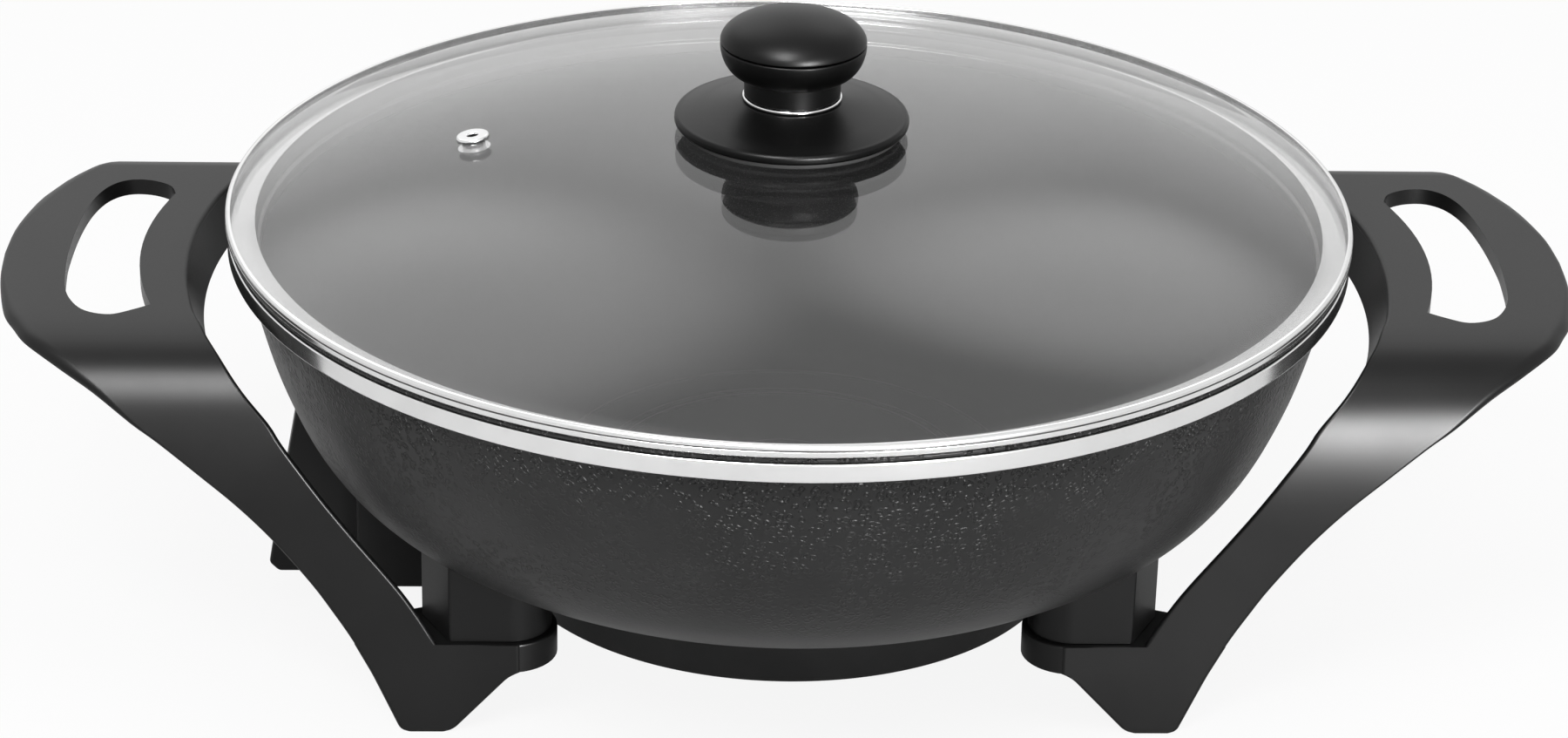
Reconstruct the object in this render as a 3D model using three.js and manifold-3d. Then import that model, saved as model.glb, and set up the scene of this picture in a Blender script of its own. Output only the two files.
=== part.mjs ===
// An electric wok with a loose glass lid. Two plastic frames are its handles and its legs, and an inlet
// under the left handle takes a plug-in thermostat. Millimetres, +Z up, the feet stand on Z = 0.
// X runs from the left handle to the right one, and the front of the wok is towards -Y.
import * as THREE from "three";
import { mergeVertices } from "three/addons/utils/BufferGeometryUtils.js";
import Module from "manifold-3d";

const wasm = await Module();
wasm.setup();

// Rings are drawn with these counts of sides
const ringSides = 64;
const knobSides = 36;
const screwSides = 12;
const turn = 2 * Math.PI;

// Clearances
const fitGap = 0.3; // between two pieces that touch
const cutOver = 2; // how far a cutting shape runs past what it cuts

// Lid and its stack on the rim
const rimRadius = 180; // outer edge of the lid's steel rim
const steelSheet = 0.6; // wall of the rolled lid rim
const glassThickness = 2.8;
const glassSeatGap = 0.2; // above and below the glass in its steel channel
const lidLipWidth = 2.5; // steel seen on top of the glass edge
const lidBeadRound = 0.6;
const lidGroove = 0.4; // depth of the fine groove round the lid rim
const lidSkirtDepth = 6.7; // how far the lid's inner skirt hangs below its seat
const domeRise = 24.8; // glass top at the centre over the glass at the edge
const domePower = 2.6; // how flat the dome is in the middle
const flatEdgeWidth = 2.9; // flat edge of the glass inside the steel channel

// Bowl
const baseClearance = 16; // table to the underside of the base cover
const coverHeight = 24.7;
const bowlDepth = 96.4; // flat bottom to the top of the bead, outside
const bowlWall = 3;
const wallInset = 5.4; // the bowl's wall just under the bead lies this far inside the lid's edge
const beadHeight = 6.5;
const beadLip = 1.2; // the bead's upper edge stands this far over the band's seat
const beadLipHeight = 1.3;
const bandHeight = 6;
const bandWall = 1.7;
const bandLipHeight = 0.7; // steel turned in under the bead
const bandOuterInset = 0.5; // the band lies this far inside the lid rim
// Outside of the bowl from the flat bottom to the bead: shares of its radius and of its wall height
const bowlShares = [
  [0.5, 0],
  [0.689, 0.0445],
  [0.8156, 0.178],
  [0.8906, 0.345],
  [0.9433, 0.567],
  [0.9777, 0.79],
  [0.996, 0.968],
  [1, 1],
];
const bowlRows = 12;

// Studs under the bowl for the cover, and lugs for the posts and the housing
const studRing = 38;
const studRadius = 5;
const studCount = 3;
const lugRadius = 6;
const lugDrop = 9;
const threadDepth = 11;

// Base cover
const coverWall = 1.5;
const coverClearance = 7.2; // between the cover's upper edge and the posts
const coverTaper = 5.3; // how much smaller its radius is at the bottom
const coverRound = 3;
const ventCount = 8;
const ventLength = 22;
const ventWidth = 4;
const ventMargin = 6.7; // from a vent's outer end to the cover's rounded edge

// Heating element and probe
const elementRadius = 3.5;
const elementInset = 30.7; // from the cover's lower edge in to the ring of the element
const terminalSpread = 10; // each pin lies this far from the middle
const elementSteps = 44;
const elementSides = 8;
const probeRadius = 4;
const probeWall = 0.8;
const probeInset = 6; // how far the probe tube reaches inside the ring of the element

// Inlet under the left handle
const housingWall = 3;
const housingHalf = 31; // half width of the box
const housingSetback = 3; // between the box and the base cover
const housingLength = 38;
const sleeveHalf = 20;
const sleeveLength = 29.4; // how far the sleeve stands out past the box
const sleeveLean = 10.2; // the sleeve's outer edge leans this far in towards the top
const sleeveTop = 76;
const sleeveCorner = 3;
const sleeveCeiling = 54;
const blockLength = 10;
const blockLow = 25;
const blockHigh = 44;
const pinRadius = 2.5;
const pinShank = 18; // how far a pin reaches in behind the block's face
const pinLength = 40;
const contactWidth = 8;
const contactSheet = 0.8;
const contactShank = 8;
const contactLength = 32;
const housingScrewInset = 11; // from the box's inner face
const housingScrewSide = 8.5; // from the box's long sides
const pillarRadius = 4.6;

// Handle frames
const handleGap = 12.3; // between the lid's edge and the grip plate
const gripWidth = 59.2;
const gripTop = 121.5; // top of the grip plate over the table
const gripHalf = 71; // half length of the flat part of the plate
const bendRadius = 18;
const legSplay = (4 * Math.PI) / 180; // legs lean outwards by this angle
const frameSheet = 4.2;
const frameRound = 1.4; // softened outer edges of the frame
const outerDraft = 3; // the sheet's outer edge slants in by this much on the hidden side
const innerDraft = 1.6; // and its pan-side edge by this much
// Pan-side edge of the frame and its width, at shares of the way from the middle of the grip to the foot
const stationShares = [
  0, 0.0983, 0.2088, 0.2703, 0.3219, 0.3833, 0.4324, 0.484, 0.516, 0.5676, 0.6241, 0.683, 0.7518, 0.7961,
  0.8526, 0.9238, 1,
];
const innerShares = [
  1, 0.9948, 0.9756, 0.9568, 0.9386, 0.9121, 0.8814, 0.8404, 0.8227, 0.7873, 0.7467, 0.7, 0.6427, 0.6105,
  0.5762, 0.5419, 0.5055,
];
const widthShares = [
  1, 0.9983, 0.9966, 0.9797, 0.9493, 0.8801, 0.7821, 0.7196, 0.6486, 0.5608, 0.4797, 0.4409, 0.4392, 0.4409,
  0.4324, 0.4223, 0.424,
];
const frameSteps = 22; // stations from the middle of the grip down to a shelf
// Hand hole in the grip plate: shares of its half width and half length, about its own centre
const holeCentreOut = 23.7; // from the pan-side edge to the middle of the hole
const holeCentreBack = 4.5;
const holeHalfWidth = 15;
const holeHalfLength = 54;
const holeShares = [
  [-0.98, 0.8],
  [-0.82, 0.92],
  [-0.37, 1],
  [0.13, 1],
  [0.53, 0.89],
  [0.8, 0.66],
  [0.95, 0.32],
  [1, -0.08],
  [0.97, -0.31],
  [0.87, -0.6],
  [0.67, -0.79],
  [0.33, -0.93],
  [-0.2, -0.98],
  [-0.67, -0.91],
  [-1, -0.84],
];
const holeBowShare = -0.06; // how far the straight chord of its pan-side edge is bowed out at the middle
const holeSteps = 26;
const skirtHeight = 16;
const skirtLean = 4.6; // the pan-side skirt leans this far in at its lower edge
const skirtWall = 3.2;
const skirtSteps = 16;
const ribWall = 4;
const ribDepth = 11;

// Shelf and foot of each leg
const shelfTop = 29.8;
const shelfHeight = 9.5;
const shelfReach = 37.5; // from the leg's inner edge to the rounded end of the shelf
const shelfDepth = 30.5;
const shelfFrontRun = 24.1; // straight part of the shelf's front edge
const shelfCornerRun = 8.5;
const footWidth = 16.2;
const footDepth = 21;
const footWall = 5;

// Posts
const postSetback = 1.8; // from the shelf's edge to the post's face
const postKneeGap = 4; // from the leg's inner edge to the post
const postFlank = 9.5; // how far the post's outer flank slants back
const screwRadius = 2.2;
const headRadius = 4.4;
const headHeight = 2.8;
const headSink = 3.4;
const driveWidth = 1.1;
const driveLength = 5;
const driveDepth = 1.4;

// Knob, from the glass up
const knobHole = 3.4;
const gasketRadius = 35.5;
const gasketBore = 6;
const gasketThickness = 1.6;
const knobBaseRadius = 37.4;
const knobBaseEdge = 3;
const knobBaseHeight = 8;
const knobBaseNeck = 16.4;
const knobEdgeRound = 1;
const knobRingRadius = 15.9;
const knobRingHeight = 2.6;
const neckRadius = 15.4;
const neckHeight = 5;
const capRadius = 23.3;
const gripRise = 15.6; // knob ring to the seam under the cap
const capRise = 9.6;
const capSeam = 0.5;
const spigotRadius = 14;
const spigotHeight = 3;
const washerRadius = 8.5;
const washerThickness = 1.2;
const innerGasketRadius = 10;
const innerGasketThickness = 1.5;

// Vent eyelet
const ventX = -101.5;
const ventY = 4;
const eyeletFlange = 5.3;
const eyeletBarrel = 3.7;
const eyeletBore = 1.7;
const eyeletSheet = 0.8;

// Heights and radii that follow from the sizes above
const bowlBottom = baseClearance + coverHeight + fitGap;
const beadTop = bowlBottom + bowlDepth;
const beadBottom = beadTop - beadHeight;
const wallHeight = beadBottom - bowlBottom;
const lidSeat = beadTop + fitGap;
const lidTop = lidSeat + 2 * steelSheet + 2 * glassSeatGap + glassThickness;
const bandOuter = rimRadius - bandOuterInset;
const bandInner = bandOuter - bandWall;
const seatRadius = bandInner - fitGap;
const bowlRadius = rimRadius - wallInset;
const bowlInnerRadius = bowlRadius - bowlWall;
const glassRadius = rimRadius - steelSheet - fitGap;
const glassEdgeTop = lidTop - steelSheet - glassSeatGap;
const domeRadius = glassRadius - flatEdgeWidth;
const glassTop = glassEdgeTop + domeRise;
const frameInner = rimRadius + handleGap;
const elementZ = bowlBottom - fitGap - elementRadius;
const probeZ = bowlBottom - fitGap - probeRadius;

const group = new THREE.Group();

// Materials, by what the piece is made of
const material = (color, roughness, metalness, extra = {}) =>
  new THREE.MeshStandardMaterial({ color, roughness, metalness, ...extra });
const nonstick = material("#2c2c2d", 0.5, 0.2);
const steel = material("#d3d5d7", 0.18, 1);
const plastic = material("#1b1b1c", 0.42, 0);
const glossPlastic = material("#101011", 0.25, 0);
const glass = material("#aab2b2", 0.05, 0, { transparent: true, opacity: 0.35 });
const rubber = material("#1a1a1a", 0.8, 0);
const enamel = material("#1d1d1e", 0.35, 0.2);
const sheath = material("#5e5c58", 0.5, 0.8);
const ceramic = material("#d9d4c6", 0.6, 0);
const screwSteel = material("#a9abad", 0.35, 1);

// A geometry as a closed solid, facing out
function solid(geometry) {
  const bare = geometry.clone();
  for (const name of Object.keys(bare.attributes)) if (name !== "position") bare.deleteAttribute(name);
  const merged = mergeVertices(bare, 1e-4);
  const triVerts = new Uint32Array(merged.index.array);
  const made = () =>
    new wasm.Manifold(new wasm.Mesh({ numProp: 3, vertProperties: merged.attributes.position.array, triVerts }));
  const first = made();
  if (first.volume() > 0) return first;
  for (let i = 0; i < triVerts.length; i += 3) {
    [triVerts[i + 1], triVerts[i + 2]] = [triVerts[i + 2], triVerts[i + 1]];
  }
  return made();
}

// A closed solid as a three.js geometry
function geometryOf(made) {
  const mesh = made.getMesh();
  const place = new Float32Array(mesh.numVert * 3);
  for (let i = 0; i < mesh.numVert; i++) {
    place.set(mesh.vertProperties.subarray(i * mesh.numProp, i * mesh.numProp + 3), i * 3);
  }
  const geometry = new THREE.BufferGeometry();
  geometry.setAttribute("position", new THREE.BufferAttribute(place, 3));
  geometry.setIndex(new THREE.BufferAttribute(new Uint32Array(mesh.triVerts), 1));
  geometry.computeVertexNormals();
  return geometry;
}

// Adds a named piece to the model
function piece(name, made, finish, parent = group) {
  const mesh = new THREE.Mesh(geometryOf(made), finish);
  mesh.name = name;
  parent.add(mesh);
  return mesh;
}

// A profile of [radius, height] points turned about the Z axis
function turned(profile, sides = ringSides) {
  const points = profile.map(([r, z]) => new THREE.Vector2(r, z));
  const closed = profile[0][0] === 0 && profile.at(-1)[0] === 0 ? points : [...points, points[0]];
  return solid(new THREE.LatheGeometry(closed, sides).rotateX(Math.PI / 2));
}

// A flat outline of [x, y] points, raised from one height to another
function raised(outline, low, high) {
  const shape = new THREE.Shape(outline.map(([x, y]) => new THREE.Vector2(x, y)));
  const made = new THREE.ExtrudeGeometry(shape, { depth: high - low, bevelEnabled: false });
  return solid(made.translate(0, 0, low));
}

// A box between two corners
function box(low, high) {
  const size = high.map((v, i) => v - low[i]);
  const middle = high.map((v, i) => (v + low[i]) / 2);
  return solid(new THREE.BoxGeometry(...size).translate(...middle));
}

// An upright rod between two heights
function rod(x, y, radius, low, high, sides = screwSides) {
  const profile = [
    [0, low],
    [radius, low],
    [radius, high],
    [0, high],
  ];
  return solid(
    new THREE.LatheGeometry(
      profile.map(([r, z]) => new THREE.Vector2(r, z)),
      sides,
    )
      .rotateX(Math.PI / 2)
      .translate(x, y, 0),
  );
}

// A rod along X between two places
function bar(y, z, radius, from, to, sides = screwSides) {
  const made = new THREE.CylinderGeometry(radius, radius, to - from, sides).rotateZ(Math.PI / 2);
  return solid(made.translate((from + to) / 2, y, z));
}

// Sections joined into a closed solid; each section is a convex ring of points
function lofted(sections) {
  const count = sections[0].length;
  const place = sections.flat().flatMap((p) => [p.x, p.y, p.z]);
  const index = [];
  for (let i = 0; i + 1 < sections.length; i++) {
    for (let j = 0; j < count; j++) {
      const a = i * count + j;
      const b = i * count + ((j + 1) % count);
      index.push(a, b, a + count, b, b + count, a + count);
    }
  }
  const last = (sections.length - 1) * count;
  for (let j = 1; j + 1 < count; j++) {
    index.push(0, j + 1, j);
    index.push(last, last + j, last + j + 1);
  }
  const geometry = new THREE.BufferGeometry();
  geometry.setAttribute("position", new THREE.Float32BufferAttribute(place, 3));
  geometry.setIndex(index);
  return solid(geometry);
}

// The same solid on the other side of the X = 0 or Y = 0 plane
function mirrored(made, x, y) {
  return solid(geometryOf(made).scale(x, y, 1));
}

// Outside of the bowl as a smooth curve of radius and height
const bowlCurve = new THREE.SplineCurve(
  bowlShares.map(([r, h]) => new THREE.Vector2(r * bowlRadius, bowlBottom + h * wallHeight)),
);

// The bowl's outside, moved outwards by an amount (inwards where it is negative)
function bowlOutline(offset) {
  return Array.from({ length: bowlRows + 1 }, (_, i) => {
    const place = bowlCurve.getPoint(i / bowlRows);
    const along = bowlCurve.getTangent(i / bowlRows);
    return [place.x + offset * along.y, place.y - offset * along.x];
  });
}

// Height of the bowl's outside at a distance from the axis
function underBowl(radius) {
  const outline = bowlOutline(0);
  const next = outline.findIndex(([r]) => r > radius);
  if (next < 1) return bowlBottom;
  const [r0, z0] = outline[next - 1];
  const [r1, z1] = outline[next];
  return z0 + ((z1 - z0) * (radius - r0)) / (r1 - r0);
}

// Everything that the bowl takes up, with a gap round it, to cut neighbours with
function bowlRoom() {
  const outline = bowlOutline(fitGap);
  const high = beadTop + cutOver;
  return turned([[0, bowlBottom - fitGap], ...outline, [outline.at(-1)[0], high], [0, high]]);
}

// The path of a frame's outer face, from the middle of the grip (0) to the table (1), on the front side
const bendAngle = Math.PI / 2 - legSplay;
const bendLength = bendRadius * bendAngle;
const legDrop = gripTop - bendRadius * (1 - Math.cos(bendAngle));
const pathLength = gripHalf + bendLength + legDrop / Math.cos(legSplay);

// Place and outward direction on that path; a distance past the foot goes on below the table
function framePath(distance) {
  const side = Math.sign(distance) || 1;
  const s = Math.abs(distance);
  let y = s;
  let z = gripTop;
  let angle = 0;
  if (s > gripHalf) {
    angle = Math.min((s - gripHalf) / bendRadius, bendAngle);
    const rest = Math.max(s - gripHalf - bendLength, 0);
    y = gripHalf + bendRadius * Math.sin(angle) + rest * Math.sin(legSplay);
    z = gripTop - bendRadius * (1 - Math.cos(angle)) - rest * Math.cos(legSplay);
  }
  return { y: -side * y, z, ny: -side * Math.sin(angle), nz: Math.cos(angle) };
}

// Distance along the path at which the leg passes a height
const pathAtHeight = (z) => gripHalf + bendLength + (legDrop - z) / Math.cos(legSplay);

// Smooth curves through the shares, read at a share of the path
function sharesCurve(shares, size) {
  const points = shares.map((v, i) => new THREE.Vector2(stationShares[i] * pathLength, v * size));
  const fine = new THREE.SplineCurve(points).getPoints(points.length * 8);
  return (distance) => {
    const s = Math.min(Math.abs(distance), pathLength);
    const next = Math.max(1, fine.findIndex((p) => p.x >= s - 1e-9));
    const a = fine[next - 1];
    const b = fine[next];
    return a.y + ((b.y - a.y) * (s - a.x)) / (b.x - a.x);
  };
}
const innerEdge = sharesCurve(innerShares, frameInner);
const stripWidth = sharesCurve(widthShares, gripWidth);
const outerEdge = (distance) => innerEdge(distance) + stripWidth(distance);

// One section across the frame's sheet, between two distances from the axis
function sheetSection(distance, inner, outer) {
  const { y, z, ny, nz } = framePath(distance);
  const at = (x, depth) => new THREE.Vector3(x, y - ny * depth, z - nz * depth);
  const soft = frameRound * (1 - Math.SQRT1_2);
  return [
    at(inner + innerDraft, frameSheet),
    at(outer - outerDraft, frameSheet),
    at(outer, frameRound),
    at(outer - soft, soft),
    at(outer - frameRound, 0),
    at(inner + frameRound, 0),
    at(inner + soft, soft),
    at(inner, frameRound),
  ];
}

// Where the leg's inner edge meets the shelf, and the leg's outer edge at the table
const shelfBottom = shelfTop - shelfHeight;
const kneeX = innerEdge(pathAtHeight(shelfTop));
const footOuter = outerEdge(pathLength);
const shelfFace = -framePath(pathAtHeight(shelfTop)).y;

// The bent sheet of a frame: grip plate, two bends, two legs with the front faces of shelf and foot
function frameSheetSolid() {
  const shelfAt = pathAtHeight(shelfTop);
  const down = Array.from({ length: frameSteps + 1 }, (_, i) => (i / frameSteps) * shelfAt).map((s) => [
    s,
    innerEdge(s),
    outerEdge(s),
  ]);
  const slantTop = kneeX - shelfFrontRun;
  const footInner = footOuter - footWidth;
  const below = cutOver / (shelfBottom || 1);
  const foot = [
    [shelfAt + fitGap, slantTop, outerEdge(shelfAt)],
    [pathAtHeight(shelfBottom), slantTop, outerEdge(pathAtHeight(shelfBottom))],
    [pathLength, footInner, footOuter],
    [pathLength + cutOver, footInner + (footInner - slantTop) * below, footOuter],
  ];
  const front = [...down, ...foot];
  const rear = front.slice(1).map(([s, inner, outer]) => [-s, inner, outer]);
  const all = [...rear.reverse(), ...front];
  return lofted(all.map(([s, inner, outer]) => sheetSection(s, inner, outer)));
}

// The D-shaped hand hole: a spline round its outer side and a bowed pan-side edge
function handHole() {
  const place = ([u, v]) =>
    new THREE.Vector2(frameInner + holeCentreOut + u * holeHalfWidth, holeCentreBack + v * holeHalfLength);
  const round = new THREE.SplineCurve(holeShares.map(place)).getPoints(holeSteps);
  const middle = (holeShares[0][1] + holeShares.at(-1)[1]) / 2;
  const bow = new THREE.QuadraticBezierCurve(round.at(-1), place([holeBowShare, middle]), round[0]);
  const outline = [...round, ...bow.getPoints(holeSteps / 3).slice(1, -1)];
  return raised(
    outline.map((p) => [p.x, p.y]),
    gripTop - frameSheet - cutOver,
    gripTop + cutOver,
  );
}

// The leaning skirt along the grip plate's pan-side edge
function gripSkirt() {
  const reach = Math.asin((gripHalf + frameSheet) / frameInner);
  const top = gripTop - frameRound;
  const low = gripTop - skirtHeight;
  const sections = Array.from({ length: skirtSteps + 1 }, (_, i) => {
    const angle = -reach + (2 * reach * i) / skirtSteps;
    const at = (radius, z) => new THREE.Vector3(radius * Math.cos(angle), radius * Math.sin(angle), z);
    return [
      at(frameInner + fitGap, top),
      at(frameInner + fitGap + skirtWall, top),
      at(frameInner - skirtLean + skirtWall, low),
      at(frameInner - skirtLean, low),
    ];
  });
  return lofted(sections);
}

// A rib down the hidden side of each leg
function legRib(side) {
  const from = gripHalf;
  const to = pathAtHeight(shelfTop - fitGap);
  const sections = Array.from({ length: frameSteps }, (_, i) => {
    const share = i / (frameSteps - 1);
    const s = from + (to - from) * share;
    const { y, z, ny, nz } = framePath(side * s);
    const x = innerEdge(s) + stripWidth(s) / 2;
    const deep = frameSheet + ribDepth * Math.sqrt(Math.min(1, 4 * share));
    const high = frameSheet / 2;
    const at = (dx, depth) => new THREE.Vector3(x + dx, y - ny * depth, z - nz * depth);
    return [at(-ribWall / 2, high), at(ribWall / 2, high), at(ribWall / 2, deep), at(-ribWall / 2, deep)];
  });
  return lofted(sections);
}

// Outline of a shelf seen from above on the front right leg, moved in by an amount
function shelfOutline(inset, outerX, flank) {
  const front = -shelfFace + inset;
  const rear = -shelfFace + shelfDepth - inset;
  const end = kneeX - shelfReach + inset;
  const radius = (rear - front) / 2;
  const middle = end + radius;
  const round = Array.from({ length: 9 }, (_, i) => {
    const angle = Math.PI / 2 + (Math.PI * i) / 8;
    return [middle + radius * Math.cos(angle), (front + rear) / 2 + radius * Math.sin(angle)];
  });
  const corner = rear - shelfCornerRun;
  return [...round, [outerX, front], [outerX + flank, corner], [kneeX - shelfCornerRun, rear]];
}

// Where the screw of the front right post stands
const postX = kneeX - shelfReach / 2;
const postY = -shelfFace + shelfDepth / 2;

// The cover fits between the rounded ends of the posts
const postEndRadius = shelfDepth / 2 - postSetback;
const postEndX = kneeX - shelfReach + postSetback + postEndRadius;
const coverTopRadius = Math.hypot(postEndX, postY) - postEndRadius - coverClearance;
const coverBottomRadius = coverTopRadius - coverTaper;
const ventRing = coverBottomRadius - coverRound - ventMargin - ventLength / 2;
const elementRing = coverBottomRadius - elementInset;

// The inlet stands just outside the cover
const housingInner = coverTopRadius + housingSetback;
const housingOuter = housingInner + housingLength;
const sleeveReach = housingOuter + sleeveLength;
const blockOuter = housingOuter - housingWall;
const wallInner = blockOuter - blockLength; // inner face of the wall that holds the socket block
const elementEnd = blockOuter - pinShank;
const pinTip = elementEnd + pinLength;
const contactInner = blockOuter - contactShank;
const contactTip = contactInner + contactLength;
const leadNotchHalf = terminalSpread + elementRadius + cutOver;
const housingScrewX = housingInner + housingScrewInset;
const housingScrewY = housingHalf - housingScrewSide;

// Shelf and foot web of the front right leg
function shelfAndFoot() {
  const shelf = raised(shelfOutline(fitGap, kneeX + frameSheet, shelfCornerRun), shelfBottom, shelfTop);
  const back = -shelfFace + footDepth;
  const webX = footOuter - footWidth / 2;
  const web = lofted([
    [
      new THREE.Vector3(webX - footWall / 2, -shelfFace, 0),
      new THREE.Vector3(webX + footWall / 2, -shelfFace, 0),
      new THREE.Vector3(webX + footWall / 2, back, 0),
      new THREE.Vector3(webX - footWall / 2, back, 0),
    ],
    [
      new THREE.Vector3(webX - footWall / 2, -shelfFace + frameRound, shelfTop - frameRound),
      new THREE.Vector3(webX + footWall / 2, -shelfFace + frameRound, shelfTop - frameRound),
      new THREE.Vector3(webX + footWall / 2, back, shelfTop - frameRound),
      new THREE.Vector3(webX - footWall / 2, back, shelfTop - frameRound),
    ],
  ]);
  const bore = rod(postX, postY, screwRadius + fitGap, shelfBottom - cutOver, shelfTop + cutOver);
  const sink = rod(postX, postY, headRadius + fitGap, shelfBottom - cutOver, shelfBottom + headSink);
  return shelf.add(web).subtract(bore).subtract(sink);
}

// The right frame; the left one is its mirror image
function frame() {
  const feet = shelfAndFoot();
  const tableCut = box(
    [-cutOver, -2 * shelfFace, -shelfFace],
    [2 * frameInner, 2 * shelfFace, 0],
  );
  return frameSheetSolid()
    .subtract(handHole())
    .add(gripSkirt())
    .add(legRib(1))
    .add(legRib(-1))
    .add(feet)
    .add(mirrored(feet, 1, -1))
    .subtract(tableCut);
}

// The front right post, cut to the bowl, with a pocket for the bowl's lug
function post() {
  const low = shelfTop + fitGap;
  const outline = shelfOutline(postSetback, kneeX - postKneeGap, postFlank);
  const blank = raised(outline, low, bowlBottom + lugDrop + shelfHeight);
  const lugLow = underBowl(Math.hypot(postX, postY)) - lugDrop;
  const pocket = rod(postX, postY, lugRadius + fitGap, lugLow - fitGap, beadTop);
  const bore = rod(postX, postY, screwRadius + fitGap, low - cutOver, beadTop);
  return blank.subtract(bowlRoom()).subtract(pocket).subtract(bore);
}

// A pan-head screw that points up, with a cross recess
function screw(x, y, head, tip, radius = screwRadius, headR = headRadius) {
  const low = head - headHeight;
  const made = turned(
    [
      [0, low],
      [headR * 0.75, low],
      [headR, low + headHeight / 2],
      [headR, head],
      [radius, head],
      [radius, tip - radius],
      [radius / 2, tip],
      [0, tip],
    ],
    screwSides,
  );
  const recess = box(
    [-driveLength / 2, -driveWidth / 2, low - cutOver],
    [driveLength / 2, driveWidth / 2, low + driveDepth],
  ).add(
    box([-driveWidth / 2, -driveLength / 2, low - cutOver], [driveWidth / 2, driveLength / 2, low + driveDepth]),
  );
  return solid(geometryOf(made.subtract(recess)).translate(x, y, 0));
}

const studPlaces = Array.from({ length: studCount }, (_, i) => {
  const angle = (turn * i) / studCount;
  return [studRing * Math.cos(angle), studRing * Math.sin(angle)];
});
const postPlaces = [
  ["right_front", postX, postY],
  ["right_rear", postX, -postY],
  ["left_front", -postX, postY],
  ["left_rear", -postX, -postY],
];
const housingPlaces = [
  ["front", -housingScrewX, -housingScrewY],
  ["rear", -housingScrewX, housingScrewY],
];

// The bowl: wall, bead, three studs for the cover and six lugs
function bowl() {
  const outside = bowlOutline(0);
  const inside = bowlOutline(-bowlWall).reverse();
  const lipBottom = beadBottom - bandLipHeight + bandHeight;
  const innerTop = inside[0][0];
  const rim = [
    [seatRadius, beadBottom],
    [seatRadius, lipBottom],
    [seatRadius + beadLip, lipBottom],
    [seatRadius + beadLip, beadTop - beadLipHeight / 2],
    [seatRadius + beadLip / 2, beadTop],
    [innerTop + bowlWall / 2, beadTop],
    [innerTop, beadTop - bowlWall / 2],
  ];
  let made = turned([[0, bowlBottom], ...outside, ...rim, ...inside, [0, bowlBottom + bowlWall]]);
  const grow = (x, y, radius, low) => {
    const top = underBowl(Math.hypot(x, y)) + bowlWall / 2;
    made = made.add(rod(x, y, radius, low, top));
    made = made.subtract(rod(x, y, screwRadius + fitGap, low - cutOver, low + Math.min(threadDepth, (top - low) * 0.8)));
  };
  for (const [x, y] of studPlaces) grow(x, y, studRadius, baseClearance + coverWall + fitGap);
  for (const [, x, y] of postPlaces) grow(x, y, lugRadius, underBowl(Math.hypot(x, y)) - lugDrop);
  for (const [, x, y] of housingPlaces) grow(x, y, pillarRadius, underBowl(Math.hypot(x, y)) - lugDrop);
  return made;
}

// The steel band round the bead, turned in under it
function rimBand() {
  const low = beadBottom - fitGap - bandLipHeight;
  const high = low + bandHeight;
  const soft = bandLipHeight;
  return turned([
    [bowlRadius + fitGap, low],
    [bandOuter - soft, low],
    [bandOuter, low + soft],
    [bandOuter, high - soft],
    [bandOuter - soft, high],
    [bandInner, high],
    [bandInner, low + bandLipHeight],
    [bowlRadius + fitGap, low + bandLipHeight],
  ]);
}

// The lid's rolled steel rim: a channel for the glass, a fine groove outside and a skirt inside the bowl
function lidRim() {
  const skirtOuter = bowlInnerRadius - 2 * fitGap;
  const skirtInner = skirtOuter - steelSheet;
  const middle = (lidSeat + lidTop) / 2;
  return turned([
    [skirtOuter, lidSeat],
    [rimRadius - lidBeadRound, lidSeat],
    [rimRadius, lidSeat + lidBeadRound],
    [rimRadius, middle - lidGroove],
    [rimRadius - lidGroove, middle],
    [rimRadius, middle + lidGroove],
    [rimRadius, lidTop - lidBeadRound],
    [rimRadius - lidBeadRound, lidTop],
    [rimRadius - lidLipWidth, lidTop],
    [rimRadius - lidLipWidth, lidTop - steelSheet],
    [rimRadius - steelSheet - lidGroove / 4, lidTop - steelSheet],
    [rimRadius - steelSheet - lidGroove / 4, lidSeat + steelSheet],
    [skirtInner, lidSeat + steelSheet],
    [skirtInner, lidSeat - lidSkirtDepth],
    [skirtOuter, lidSeat - lidSkirtDepth],
  ]);
}

// Top of the glass at a distance from the axis
const domeTop = (radius) =>
  glassEdgeTop + domeRise * (1 - Math.pow(Math.min(radius / domeRadius, 1), domePower));

// The glass dome with its holes for the knob's screw and the vent
function lidGlass() {
  const rows = 7;
  const top = Array.from({ length: rows + 1 }, (_, i) => {
    const radius = domeRadius * Math.sqrt(1 - i / rows);
    return [radius, domeTop(radius)];
  });
  const under = [...top].reverse().map(([r, z]) => [r, z - glassThickness]);
  const made = turned([
    ...under,
    [glassRadius, glassEdgeTop - glassThickness],
    [glassRadius, glassEdgeTop],
    ...top,
  ].reverse());
  const drill = rod(0, 0, knobHole, lidSeat, glassTop + cutOver);
  const ventDrill = solid(eyeletPlace(rodGeometry(eyeletBarrel + fitGap, -domeRise, domeRise)));
  return made.subtract(drill).subtract(ventDrill);
}

// A plain rod about the Z axis as a geometry
function rodGeometry(radius, low, high) {
  return new THREE.CylinderGeometry(radius, radius, high - low, screwSides)
    .rotateX(Math.PI / 2)
    .translate(0, 0, (high + low) / 2);
}

// Seats a geometry that was made about the origin on the glass at the vent, square to the dome
function eyeletPlace(geometry) {
  const radius = Math.hypot(ventX, ventY);
  const slope = (domeTop(radius + fitGap) - domeTop(radius - fitGap)) / (2 * fitGap);
  const tilt = new THREE.Quaternion().setFromUnitVectors(
    new THREE.Vector3(0, 0, 1),
    new THREE.Vector3((-slope * ventX) / radius, (-slope * ventY) / radius, 1).normalize(),
  );
  return geometry.applyQuaternion(tilt).translate(ventX, ventY, domeTop(radius));
}

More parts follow.
